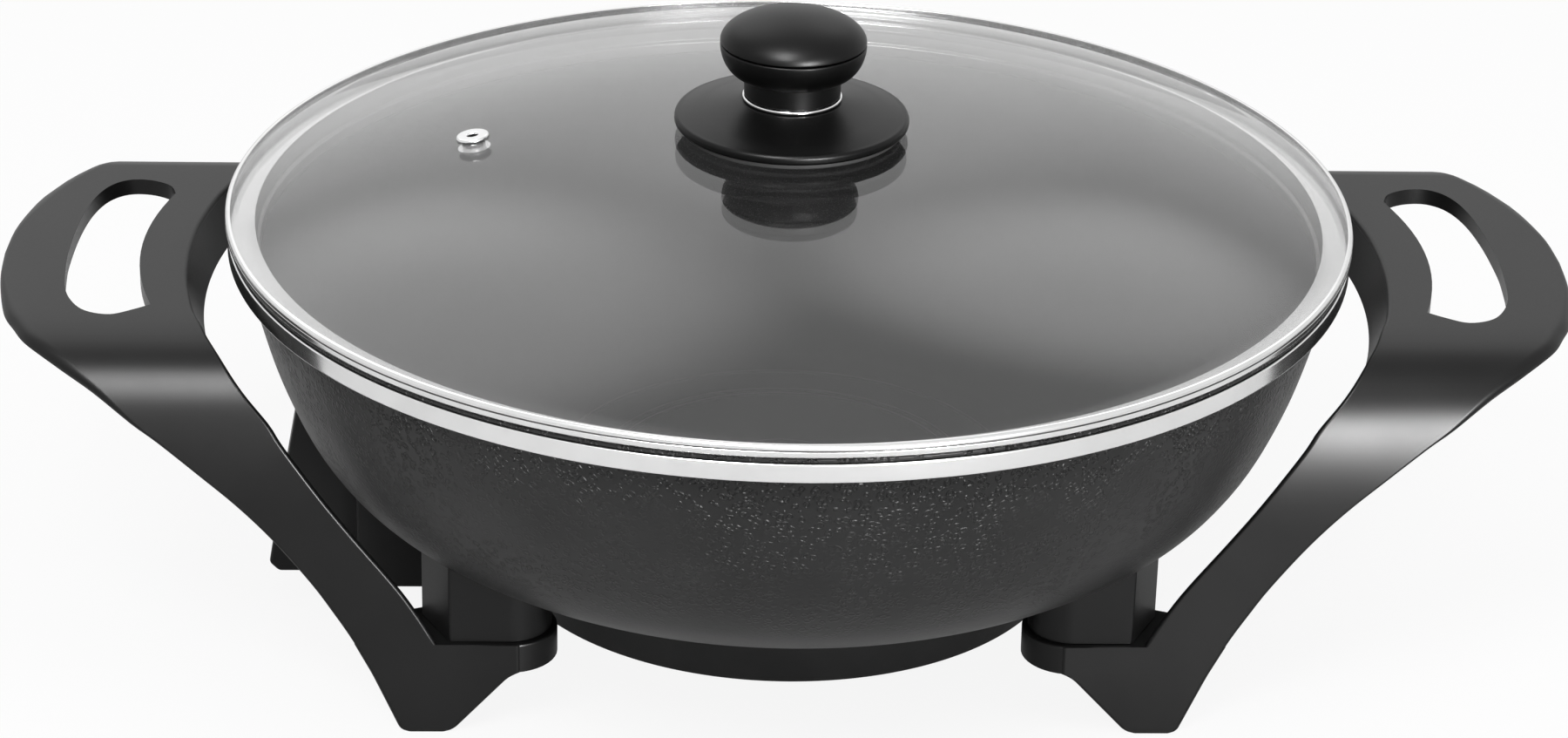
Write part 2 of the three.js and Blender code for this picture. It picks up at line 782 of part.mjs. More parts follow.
// The vent eyelet: a barrel with a flange above and below the glass
function ventEyelet() {
  const over = fitGap + eyeletSheet;
  const under = -glassThickness - fitGap;
  const profile = [
    [eyeletBore, over],
    [eyeletFlange - eyeletSheet / 2, over],
    [eyeletFlange, fitGap + eyeletSheet / 2],
    [eyeletFlange, fitGap],
    [eyeletBarrel, fitGap],
    [eyeletBarrel, under],
    [eyeletFlange, under],
    [eyeletFlange, under - eyeletSheet],
    [eyeletBore + eyeletSheet, under - eyeletSheet],
    [eyeletBore + eyeletSheet, 0],
    [eyeletBore, 0],
  ];
  const points = [...profile, profile[0]].map(([r, z]) => new THREE.Vector2(r, z));
  return solid(eyeletPlace(new THREE.LatheGeometry(points, screwSides).rotateX(Math.PI / 2)));
}

// Heights in the knob
const gasketLow = glassTop + fitGap;
const knobBaseLow = gasketLow + gasketThickness + fitGap;
const knobRingLow = knobBaseLow + knobBaseHeight + fitGap;
const neckLow = knobRingLow + knobRingHeight + fitGap;
const seamZ = neckLow + gripRise;
const capTop = seamZ + capSeam + capRise;

// A flat ring between two heights
function ring(inner, outer, low, high, sides = knobSides) {
  const profile = [
    [inner, low],
    [outer, low],
    [outer, high],
    [inner, high],
  ];
  return turned(profile, sides);
}

// The wide disc of the knob, thin at its edge and rising to the neck
function knobBase() {
  const edgeTop = knobBaseLow + knobBaseEdge;
  const top = knobBaseLow + knobBaseHeight;
  return turned(
    [
      [gasketBore, knobBaseLow],
      [knobBaseRadius - knobEdgeRound, knobBaseLow],
      [knobBaseRadius, knobBaseLow + knobEdgeRound],
      [knobBaseRadius, edgeTop - knobEdgeRound],
      [knobBaseRadius - knobEdgeRound, edgeTop],
      [(knobBaseRadius + knobBaseNeck) / 2, edgeTop + (top - edgeTop) * 0.45],
      [knobBaseNeck, top],
      [gasketBore, top],
    ],
    knobSides,
  );
}

// Neck and underside of the cap, with a spigot that the cap snaps over and a bore for the screw
function knobGrip() {
  const steps = 5;
  const flareLow = neckLow + neckHeight;
  const flare = Array.from({ length: steps + 1 }, (_, i) => {
    const angle = (Math.PI / 2) * (i / steps);
    return [
      neckRadius + (capRadius - neckRadius) * Math.sin(angle),
      flareLow + (seamZ - flareLow) * (1 - Math.cos(angle)),
    ];
  });
  return turned(
    [
      [screwRadius + fitGap, neckLow],
      [neckRadius, neckLow],
      ...flare,
      [spigotRadius, seamZ],
      [spigotRadius, seamZ + spigotHeight],
      [0, seamZ + spigotHeight],
      [0, seamZ],
      [screwRadius + fitGap, seamZ - cutOver],
    ].reverse(),
    knobSides,
  );
}

// The cap: an elliptical dome over the spigot
function knobCap() {
  const steps = 7;
  const low = seamZ + capSeam;
  const dome = Array.from({ length: steps + 1 }, (_, i) => {
    const angle = (Math.PI / 2) * (i / steps);
    return [i === steps ? 0 : capRadius * Math.cos(angle), low + capRise * Math.sin(angle)];
  });
  const pocketTop = seamZ + spigotHeight + fitGap;
  return turned([[0, pocketTop], [spigotRadius + fitGap, pocketTop], [spigotRadius + fitGap, low], ...dome], knobSides);
}

// The knob's screw with its washer and gasket under the glass
function knobFixings() {
  const under = glassTop - glassThickness - fitGap;
  const washerTop = under - innerGasketThickness - fitGap;
  const headTop = washerTop - washerThickness - fitGap;
  piece("inner_gasket", ring(knobHole, innerGasketRadius, under - innerGasketThickness, under), rubber, lid);
  piece("knob_washer", ring(knobHole, washerRadius, washerTop - washerThickness, washerTop), screwSteel, lid);
  piece("knob_screw", screw(0, 0, headTop, seamZ - cutOver - fitGap), screwSteel, lid);
}

// The dished cover under the bowl, with vents, screw holes and a notch for the inlet
function baseCover() {
  const low = baseClearance;
  const high = baseClearance + coverHeight;
  const made = turned([
    [0, low],
    [coverBottomRadius - coverRound, low],
    [coverBottomRadius - coverRound * (1 - Math.SQRT1_2), low + coverRound * (1 - Math.SQRT1_2)],
    [coverBottomRadius, low + coverRound],
    [coverTopRadius, high],
    [coverTopRadius - coverWall, high],
    [coverBottomRadius - coverWall, low + coverRound + coverWall / 2],
    [coverBottomRadius - coverRound, low + coverWall],
    [0, low + coverWall],
  ]);
  let cuts = box(
    [-coverTopRadius - cutOver, -leadNotchHalf, elementZ - elementRadius - cutOver],
    [-coverTopRadius / 2, leadNotchHalf, high + cutOver],
  );
  for (const [x, y] of studPlaces) {
    cuts = cuts.add(rod(x, y, screwRadius + fitGap, low - cutOver, low + coverWall + cutOver));
  }
  for (let i = 0; i < ventCount; i++) {
    const slot = new THREE.BoxGeometry(ventLength, ventWidth, coverWall + 2 * cutOver)
      .translate(ventRing, 0, low + coverWall / 2)
      .rotateZ((turn * (i + 0.5)) / ventCount);
    cuts = cuts.add(solid(slot));
  }
  return made.subtract(cuts);
}

// The heater: a ring of sheathed tube whose two ends lead out to the pins
function heatingElement() {
  const start = Math.PI - Math.asin((terminalSpread + 2 * elementRadius) / elementRing);
  const lead = (side) => [
    new THREE.Vector3(-elementEnd + fitGap, side * terminalSpread, elementZ),
    new THREE.Vector3(-(elementEnd + elementRing) / 2, side * terminalSpread, elementZ),
    new THREE.Vector3(-elementRing - 3 * elementRadius, side * terminalSpread, elementZ),
  ];
  const around = Array.from({ length: 15 }, (_, i) => {
    const angle = start - (2 * start * i) / 14;
    return new THREE.Vector3(elementRing * Math.cos(angle), elementRing * Math.sin(angle), elementZ);
  });
  const path = new THREE.CatmullRomCurve3([...lead(1), ...around, ...lead(-1).reverse()]);
  const section = new THREE.Shape(
    Array.from({ length: elementSides }, (_, i) => {
      const angle = (turn * i) / elementSides;
      return new THREE.Vector2(elementRadius * Math.cos(angle), elementRadius * Math.sin(angle));
    }),
  );
  return solid(new THREE.ExtrudeGeometry(section, { steps: elementSteps, bevelEnabled: false, extrudePath: path }));
}

// The closed tube that takes the thermostat's probe, open at its outer end
function probeTube() {
  const outer = -blockOuter;
  const made = bar(0, probeZ, probeRadius, outer, -elementRing + probeInset);
  return made.subtract(bar(0, probeZ, probeRadius - probeWall, outer - cutOver, -elementRing + probeInset - probeWall));
}

// The inlet's housing: a box under the bowl and a sleeve that shields the plug
function socketHousing() {
  const low = baseClearance;
  const body = box([-housingOuter, -housingHalf, low], [-housingInner, housingHalf, sleeveTop]);
  const side = new THREE.Shape([
    new THREE.Vector2(-housingOuter + housingWall, low),
    new THREE.Vector2(-sleeveReach + sleeveCorner, low),
    new THREE.Vector2(-sleeveReach, low + sleeveCorner),
    new THREE.Vector2(-sleeveReach + sleeveLean, sleeveTop),
    new THREE.Vector2(-housingOuter + housingWall, sleeveTop),
  ]);
  const sleeve = solid(
    new THREE.ExtrudeGeometry(side, { depth: 2 * sleeveHalf, bevelEnabled: false })
      .rotateX(Math.PI / 2)
      .translate(0, sleeveHalf, 0),
  );
  const inside = sleeveHalf - housingWall;
  const floor = low + housingWall;
  const mouth = box(
    [-sleeveReach - cutOver, -inside, floor + cutOver],
    [-wallInner + cutOver, inside, sleeveCeiling],
  );
  const cavity = box(
    [-wallInner, -housingHalf + housingWall, floor],
    [-housingInner - housingWall, housingHalf - housingWall, sleeveTop],
  );
  const ledGap = box(
    [-housingInner - 2 * housingWall, -leadNotchHalf, elementZ - elementRadius - cutOver],
    [-housingInner + cutOver, leadNotchHalf, sleeveTop],
  );
  let made = body.add(sleeve).subtract(mouth).subtract(cavity).subtract(ledGap);
  for (const [, x, y] of housingPlaces) {
    const lugLow = underBowl(Math.hypot(x, y)) - lugDrop;
    made = made.add(rod(x, y, pillarRadius, low, lugLow - fitGap));
    made = made.add(rod(x, y, headRadius + housingWall / 2, low, low + headSink + housingWall));
    made = made.subtract(rod(x, y, screwRadius + fitGap, low - cutOver, beadTop));
    made = made.subtract(rod(x, y, headRadius + fitGap, low - cutOver, low + headSink));
  }
  const coverRoom = turned([
    [0, 0],
    [coverTopRadius + fitGap, 0],
    [coverTopRadius + fitGap, bowlBottom],
    [0, bowlBottom],
  ]);
  return made.subtract(bowlRoom()).subtract(coverRoom);
}

// The insulating block that holds the pins and the probe tube
function socketBlock() {
  const inside = sleeveHalf - housingWall - fitGap;
  const inner = -blockOuter + blockLength;
  let made = box([-blockOuter, -inside, blockLow], [inner, inside, blockHigh]);
  for (const side of [-1, 1]) {
    made = made.subtract(
      bar(side * terminalSpread, elementZ, pinRadius + fitGap, -blockOuter - cutOver, inner + cutOver),
    );
  }
  return made.subtract(bar(0, probeZ, probeRadius + fitGap, -blockOuter - cutOver, inner + cutOver));
}

// A round-nosed pin
function terminalPin(side) {
  const profile = [
    [0, 0],
    [pinRadius, 0],
    [pinRadius, pinTip - elementEnd - pinRadius],
    [pinRadius / 2, pinTip - elementEnd - pinRadius / 4],
    [0, pinTip - elementEnd],
  ].map(([r, z]) => new THREE.Vector2(r, z));
  return solid(
    new THREE.LatheGeometry(profile, screwSides)
      .rotateZ(Math.PI / 2)
      .translate(-elementEnd, side * terminalSpread, elementZ),
  );
}

// The earth contact, a strip bowed up towards the plug
function earthContact() {
  const low = baseClearance + housingWall + cutOver + fitGap;
  const rise = (blockLow - low - contactSheet) / 2;
  const bends = [
    [-contactInner, 0],
    [-blockOuter, 0],
    [-(blockOuter + contactTip) / 2, rise],
    [-contactTip, 0],
  ];
  const outline = [
    ...bends.map(([x, h]) => new THREE.Vector2(x, low + h)),
    ...[...bends].reverse().map(([x, h]) => new THREE.Vector2(x, low + h + contactSheet)),
  ];
  return solid(
    new THREE.ExtrudeGeometry(new THREE.Shape(outline), { depth: contactWidth, bevelEnabled: false })
      .rotateX(Math.PI / 2)
      .translate(0, contactWidth / 2, 0),
  );
}

// The assembly
const lid = new THREE.Group();
group.add(lid);

piece("bowl", bowl(), nonstick);
piece("rim_band", rimBand(), steel);
piece("base_cover", baseCover(), enamel);
piece("heating_element", heatingElement(), sheath);
piece("probe_tube", probeTube(), sheath);
piece("socket_housing", socketHousing(), plastic);
piece("socket_block", socketBlock(), ceramic);
piece("terminal_pin_front", terminalPin(-1), screwSteel);
piece("terminal_pin_rear", terminalPin(1), screwSteel);
piece("earth_contact", earthContact(), screwSteel);

const coverHead = baseClearance - fitGap;
studPlaces.forEach(([x, y], i) => {
  piece(`cover_screw_${i + 1}`, screw(x, y, coverHead, coverHead + threadDepth), screwSteel);
});
for (const [name, x, y] of housingPlaces) {
  const head = baseClearance + headSink - fitGap;
  const tip = underBowl(Math.hypot(x, y)) - lugDrop / 2;
  piece(`housing_screw_${name}`, screw(x, y, head, tip), screwSteel);
}

const rightFrame = frame();
piece("right_frame", rightFrame, plastic);
piece("left_frame", mirrored(rightFrame, -1, 1), plastic);

const rightFrontPost = post();
for (const [name, x, y] of postPlaces) {
  piece(`post_${name}`, mirrored(rightFrontPost, Math.sign(x), -Math.sign(y)), plastic);
  const tip = underBowl(Math.hypot(x, y)) - lugDrop / 2;
  piece(`leg_screw_${name}`, screw(x, y, shelfBottom + headSink - fitGap, tip), screwSteel);
}

piece("lid_rim", lidRim(), steel, lid);
piece("lid_glass", lidGlass(), glass, lid);
piece("vent_eyelet", ventEyelet(), steel, lid);
piece("knob_gasket", ring(gasketBore, gasketRadius, gasketLow, gasketLow + gasketThickness), rubber, lid);
piece("knob_base", knobBase(), glossPlastic, lid);
piece("knob_ring", ring(gasketBore, knobRingRadius, knobRingLow, knobRingLow + knobRingHeight), steel, lid);
piece("knob_grip", knobGrip(), glossPlastic, lid);
piece("knob_cap", knobCap(), glossPlastic, lid);
knobFixings();

export default group;
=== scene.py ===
"""Looks of an electric wok with a loose glass lid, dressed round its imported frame.

The classes hold their sizes in millimetres; a finished mesh is brought to metres. X runs from the
left handle to the right one, the front of the wok is towards -Y, and the feet stand on Z = 0.
A profile's corners are [distance from the axis, height, how far the corner is rounded].
"""

import logging
import math
from bisect import bisect_left
from collections.abc import Callable, Iterable, Mapping, Sequence
from dataclasses import dataclass
from enum import Enum
from functools import cached_property
from typing import NamedTuple

import bmesh
import bpy
from bmesh.types import BMEdge, BMFace, BMVert
from mathutils import Matrix, Quaternion, Vector
from mathutils.geometry import interpolate_bezier


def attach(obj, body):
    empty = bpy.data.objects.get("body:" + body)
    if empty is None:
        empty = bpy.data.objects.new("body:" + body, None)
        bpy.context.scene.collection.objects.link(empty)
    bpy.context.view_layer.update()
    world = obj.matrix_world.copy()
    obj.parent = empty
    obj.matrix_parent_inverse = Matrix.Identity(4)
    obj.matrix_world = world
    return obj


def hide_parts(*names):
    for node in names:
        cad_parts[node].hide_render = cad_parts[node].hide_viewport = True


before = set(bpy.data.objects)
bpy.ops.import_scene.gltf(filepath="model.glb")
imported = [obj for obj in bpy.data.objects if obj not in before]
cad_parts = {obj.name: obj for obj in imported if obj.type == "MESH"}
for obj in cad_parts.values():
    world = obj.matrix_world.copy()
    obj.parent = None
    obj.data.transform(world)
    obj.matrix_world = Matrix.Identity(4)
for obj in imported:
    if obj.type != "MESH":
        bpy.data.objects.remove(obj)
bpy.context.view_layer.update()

LOG = logging.getLogger("wok")

Pair = tuple[float, float]
Place = tuple[float, float, float]
Row = Sequence[float]

MM = 0.001
RING_STEPS, KNOB_STEPS, SMALL_STEPS, ROUND_STEPS = 192, 96, 32, 4
MERGE = 1e-4
FIT_GAP = 0.3
CUT_OVER = 2.0
SHARP = math.radians(32)
SCREW_HOLE, HEAD_HOLE, HEAD_DEEP, SCREW_SHORT = 2.5, 4.7, 3.4, 4.5


class Body(Enum):
    """The two bodies of the frame."""

    WOK = "wok"
    LID = "lid"


class Join(Enum):
    """How one solid is combined with another."""

    CUT = "DIFFERENCE"
    ADD = "UNION"


class Slot(Enum):
    """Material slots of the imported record."""

    NONSTICK = "nonstick"
    STEEL = "steel"
    PLASTIC = "plastic"
    GLOSS_PLASTIC = "gloss_plastic"
    GLASS = "glass"
    RUBBER = "rubber"
    ENAMEL = "enamel"
    SHEATH = "sheath"
    INSULATOR = "insulator"
    SCREW_STEEL = "screw_steel"


class Finish(NamedTuple):
    """A material with the slot that it stands for."""

    slot: Slot
    material: bpy.types.Material


# ---------------------------------------------------------------- lines


def smooth_line(points: Iterable[Row], steps: int) -> list[Vector]:
    """A smooth curve through points.

    Args:
        points: the places that the curve passes, in order.
        steps: how many parts each stretch between two of them gets.

    Returns:
        The points along the curve, with both ends.
    """
    points = [Vector(p) for p in points]
    ends = [points[0], *points, points[-1]]
    line: list[Vector] = []
    for before, start, stop, after in zip(ends, ends[1:], ends[2:], ends[3:]):
        leave, arrive = start + (stop - before) / 6, stop - (after - start) / 6
        line += interpolate_bezier(start, leave, arrive, stop, steps + 1)[:-1]
    return [*line, points[-1]]


def beside(line: Sequence[Vector], distance: float) -> list[Vector]:
    """A profile line moved to its right-hand side, or to the left by a negative distance.

    Args:
        line: the line's points in order.
        distance: how far it is moved.

    Returns:
        The moved points.
    """
    moved = []
    for i, place in enumerate(line):
        along = (line[min(i + 1, len(line) - 1)] - line[max(i - 1, 0)]).normalized()
        moved.append(place + distance * Vector((along.y, -along.x)))
    return moved


def read_line(line: Sequence[Vector], after: int, x: float) -> float:
    """The second coordinate of a line where the first is x, just before one of its points."""
    low, high = line[after - 1], line[after]
    return low.y + (high.y - low.y) * (x - low.x) / (high.x - low.x)


def arc(centre: Row, radii: Row, start: float, stop: float, steps: int) -> list[Vector]:
    """Points on an elliptical arc.

    Args:
        centre: its centre, as two numbers.
        radii: its two radii, the second one negative to run the other way.
        start: the first angle, in radians.
        stop: the last angle.
        steps: how many parts it has.

    Returns:
        The points with both ends.
    """
    angles = [start + (stop - start) * i / steps for i in range(steps + 1)]
    return [Vector((centre[0] + radii[0] * math.cos(a), centre[1] + radii[1] * math.sin(a))) for a in angles]


def quarter(axis: str, turns: int = 1) -> Matrix:
    """Quarter turns round an axis."""
    return Matrix.Rotation(turns * math.pi / 2, 4, axis)


def flipped(x: int, y: int) -> Matrix:
    """Mirrors in X or Y where a sign is negative."""
    return Matrix.Diagonal((x, y, 1, 1))


# ---------------------------------------------------------------- mesh work


class Form:
    """A mesh in the making, in millimetres, shaped with bmesh operators."""

    def __init__(self) -> None:
        """Starts with nothing."""
        self.bm = bmesh.new()

    def ring_of(self, places: Sequence[Row], closed: bool = True) -> list[BMEdge]:
        """Draws a line of edges.

        Args:
            places: its points in space.
            closed: whether the last point joins the first.

        Returns:
            The edges in order.
        """
        verts = [self.bm.verts.new(p) for p in places]
        follow = verts[1:] + verts[:1] if closed else verts[1:]
        return [self.bm.edges.new(pair) for pair in zip(verts, follow)]

    def bevel(self, geom: list[BMVert] | list[BMEdge], width: float, affect: str) -> None:
        """Rounds vertices or edges by a width.

        Args:
            geom: what is rounded.
            width: how far the rounding reaches.
            affect: VERTICES or EDGES.
        """
        bmesh.ops.bevel(
            self.bm, geom=geom, offset=width, offset_type="OFFSET", segments=ROUND_STEPS, profile=0.5, affect=affect,
            clamp_overlap=True, material=-1,
        )

    def tidy(self) -> "Form":
        """Merges doubles and turns the faces outwards.

        Returns:
            This form.
        """
        bmesh.ops.remove_doubles(self.bm, verts=self.bm.verts[:], dist=MERGE)
        bmesh.ops.recalc_face_normals(self.bm, faces=self.bm.faces[:])
        return self

    def loft(self, sections: Sequence[Sequence[Vector]]) -> "Form":
        """Joins closed sections in their order and closes both ends.

        Args:
            sections: closed lines of points, in order.

        Returns:
            This form.
        """
        rings = [self.ring_of(section) for section in sections]
        for ring, following in zip(rings, rings[1:]):
            bmesh.ops.bridge_loops(self.bm, edges=ring + following)
        for ring in (rings[0], rings[-1]):
            bmesh.ops.edgeloop_fill(self.bm, edges=ring)
        return self.tidy()

    def prism(self, outline: Iterable[Row], low: float, high: float) -> "Form":
        """Raises an outline of [x, y] points from one height to another.

        Args:
            outline: the points of a closed line.
            low: its lower height.
            high: its upper height.

        Returns:
            This form.
        """
        edges = self.ring_of([(p[0], p[1], low) for p in outline])
        floor = bmesh.ops.edgeloop_fill(self.bm, edges=edges)["faces"]
        top = bmesh.ops.extrude_face_region(self.bm, geom=floor)["geom"]
        raised = [v for v in top if isinstance(v, BMVert)]
        bmesh.ops.translate(self.bm, vec=(0, 0, high - low), verts=raised)
        return self.tidy()

    def block(self, low: Row, high: Row) -> "Form":
        """Adds a box between two corners.

        Args:
            low: one corner.
            high: the corner across from it.

        Returns:
            This form.
        """
        middle = Vector([(a + b) / 2 for a, b in zip(low, high)])
        size = [abs(b - a) for a, b in zip(low, high)]
        bmesh.ops.create_cube(self.bm, size=1, matrix=Matrix.Translation(middle) @ Matrix.Diagonal((*size, 1)))
        return self

    def rod(self, x: float, y: float, radius: float, low: float, high: float, steps: int = SMALL_STEPS) -> "Form":
        """Adds an upright rod between two heights.

        Args:
            x: where its axis stands across.
            y: where its axis stands in depth.
            radius: its radius.
            low: its lower height.
            high: its upper height.
            steps: how many sides it has.

        Returns:
            This form.
        """
        bmesh.ops.create_cone(
            self.bm, cap_ends=True, segments=steps, radius1=radius, radius2=radius, depth=high - low,
            matrix=Matrix.Translation((x, y, (high + low) / 2)),
        )
        return self

    def move(self, *matrices: Matrix) -> "Form":
        """Turns, scales or moves everything by each matrix; a mirroring one keeps the faces outwards.

        Args:
            matrices: what is done, in order.

        Returns:
            This form.
        """
        for matrix in matrices:
            bmesh.ops.transform(self.bm, matrix=matrix, verts=self.bm.verts[:])
            if matrix.determinant() < 0:
                bmesh.ops.reverse_faces(self.bm, faces=self.bm.faces[:])
        return self

    def copy(self) -> "Form":
        """The same form again.

        Returns:
            A form of its own.
        """
        other = Form()
        other.bm.free()
        other.bm = self.bm.copy()
        return other

    def temporary(self) -> bpy.types.Object:
        """An object of the mesh for a Boolean, which is removed afterwards.

        Returns:
            The object.
        """
        mesh = bpy.data.meshes.new("work")
        self.bm.to_mesh(mesh)
        made = bpy.data.objects.new("work", mesh)
        bpy.context.scene.collection.objects.link(made)
        return made

    def combine(self, how: Join, *tools: "Form") -> "Form":
        """Cuts or joins other solids.

        Args:
            how: whether they are cut away or added.
            tools: the other solids in their order, which are used up.

        Returns:
            This form.
        """
        for tool in tools:
            body, other = self.temporary(), tool.temporary()
            modifier = body.modifiers.new("join", "BOOLEAN")
            modifier.operation, modifier.solver, modifier.object = how.value, "EXACT", other
            graph = bpy.context.evaluated_depsgraph_get()
            result = bpy.data.meshes.new_from_object(body.evaluated_get(graph))
            self.bm.clear()
            self.bm.from_mesh(result)
            for used in (body, other):
                mesh = used.data
                bpy.data.objects.remove(used)
                bpy.data.meshes.remove(mesh)
            bpy.data.meshes.remove(result)
            tool.bm.free()
            bmesh.ops.remove_doubles(self.bm, verts=self.bm.verts[:], dist=MERGE)
        return self

    def cut(self, *tools: "Form") -> "Form":
        """Cuts other solids away."""
        return self.combine(Join.CUT, *tools)

    def add(self, *tools: "Form") -> "Form":
        """Joins other solids."""
        return self.combine(Join.ADD, *tools)

    def soften(self, width: float, where: Callable[[BMEdge], bool] = lambda edge: True) -> "Form":
        """Rounds the outer edges that are sharp.

        Args:
            width: how far the rounding reaches on each side.
            where: which of the sharp outer edges are rounded.

        Returns:
            This form.
        """
        self.bm.normal_update()
        outer = [e for e in self.bm.edges if len(e.link_faces) == 2 and e.calc_face_angle_signed(0.0) > SHARP]
        self.bevel([e for e in outer if where(e)], width, "EDGES")
        return self

    def cut_below(self, height: float) -> "Form":
        """Cuts everything under a height away and closes the cut.

        Args:
            height: where it is cut.

        Returns:
            This form.
        """
        geom = self.bm.verts[:] + self.bm.edges[:] + self.bm.faces[:]
        made = bmesh.ops.bisect_plane(
            self.bm, geom=geom, plane_co=(0, 0, height), plane_no=(0, 0, -1), clear_outer=True
        )["geom_cut"]
        bmesh.ops.edgenet_fill(self.bm, edges=[e for e in made if isinstance(e, BMEdge)])
        return self.tidy()

    def piece(
        self,
        name: str,
        body: Body,
        finish: Finish,
        node: str,
        second: Finish | None = None,
        takes_second: Callable[[BMFace], bool] = lambda face: False,
    ) -> None:
        """finish: its material; the slot that comes with it is not given to the piece here.
            second: another finish, for some of its faces.
            takes_second: which faces these are.
        """
        for face in self.bm.faces if second else ():
            face.material_index = int(takes_second(face))
        bmesh.ops.scale(self.bm, vec=(MM, MM, MM), verts=self.bm.verts[:])
        mesh = bpy.data.meshes.new(name)
        self.bm.to_mesh(mesh)
        self.bm.free()
        mesh.shade_smooth()
        mesh.set_sharp_from_angle(angle=SHARP)
        made = bpy.data.objects.new(name, mesh)
        bpy.context.scene.collection.objects.link(made)
        for worn in filter(None, (finish, second)):
            mesh.materials.append(worn.material)
        made.modifiers.new("normals", "WEIGHTED_NORMAL").keep_sharp = True
        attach(made, body.value)
        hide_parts(node)
        LOG.info("%s: %d faces, for %s", name, len(mesh.polygons), node)


def turned(corners: Iterable[Row], steps: int = RING_STEPS, closed: bool = True) -> Form:
    """A profile turned once round the Z axis.

    Args:
        corners: its corners in order, each with how far it is rounded where it is.
        steps: how many parts the turn has.
        closed: whether the last corner joins the first.

    Returns:
        The form.
    """
    form, corners = Form(), [(*c, 0.0)[:3] for c in corners]
    edges = form.ring_of([(out, 0.0, up) for out, up, _ in corners], closed)
    verts = [e.verts[0] for e in edges] + ([] if closed else [edges[-1].verts[1]])
    for vert, soft in [(v, c[2]) for v, c in zip(verts, corners) if c[2]]:
        form.bevel([vert], soft, "VERTICES")
    bmesh.ops.spin(
        form.bm, geom=form.bm.verts[:] + form.bm.edges[:], cent=(0, 0, 0), axis=(0, 0, 1), dvec=(0, 0, 0),
        angle=math.tau, steps=steps, use_merge=True, use_normal_flip=False, use_duplicate=False,
    )
    return form.tidy()


def tube(path: Sequence[Vector], radius: float) -> Form:
    """A round tube along the points of its middle line, closed at both ends.

    Args:
        path: the points of its middle line.
        radius: its radius.

    Returns:
        The form.
    """
    curve = bpy.data.curves.new("tube", "CURVE")
    curve.dimensions, curve.bevel_depth, curve.bevel_resolution = "3D", radius, 5
    curve.use_fill_caps = True
    line = curve.splines.new("POLY")
    line.points.add(len(path) - 1)
    for point, place in zip(line.points, path):
        point.co = (*place, 1)
    made = bpy.data.objects.new("tube", curve)
    bpy.context.scene.collection.objects.link(made)
    mesh = bpy.data.meshes.new_from_object(made.evaluated_get(bpy.context.evaluated_depsgraph_get()))
    form = Form()
    form.bm.from_mesh(mesh)
    bpy.data.objects.remove(made)
    bpy.data.curves.remove(curve)
    bpy.data.meshes.remove(mesh)
    return form.tidy()


# ---------------------------------------------------------------- shader work


def _operator(operation: str, swapped: bool = False) -> Callable[["Value", "Value | float"], "Value"]:
    """A method that adds one Math node on two operands.

    Args:
        operation: what the node works out.
        swapped: whether the second operand goes first.

    Returns:
        The method.
    """

    def apply(first: "Value", second: "Value | float") -> "Value":
        """The node's result."""
        operands = (second, first) if swapped else (first, second)
        return first.shader.add("Math", dict(enumerate(operands)), operation=operation)

    return apply


class Value:
    """A shader socket in an expression: its operators add Math nodes."""

    __add__ = __radd__ = _operator("ADD")
    __mul__ = __rmul__ = _operator("MULTIPLY")
    __sub__ = _operator("SUBTRACT")
    __rsub__ = _operator("SUBTRACT", swapped=True)
    __pow__ = _operator("POWER")
    most = _operator("MAXIMUM")

    def __init__(self, shader: "Shader", socket: bpy.types.NodeSocket) -> None:
        """Wraps a socket."""
        self.shader, self.socket = shader, socket

    def ramp(self, low: float, high: float) -> "Value":
        """Runs smoothly from 0 at one value to 1 at another."""
        ends = {"Value": self, "From Min": low, "From Max": high, "To Min": 0.0, "To Max": 1.0}
        return self.shader.add("MapRange", ends, interpolation_type="SMOOTHSTEP")


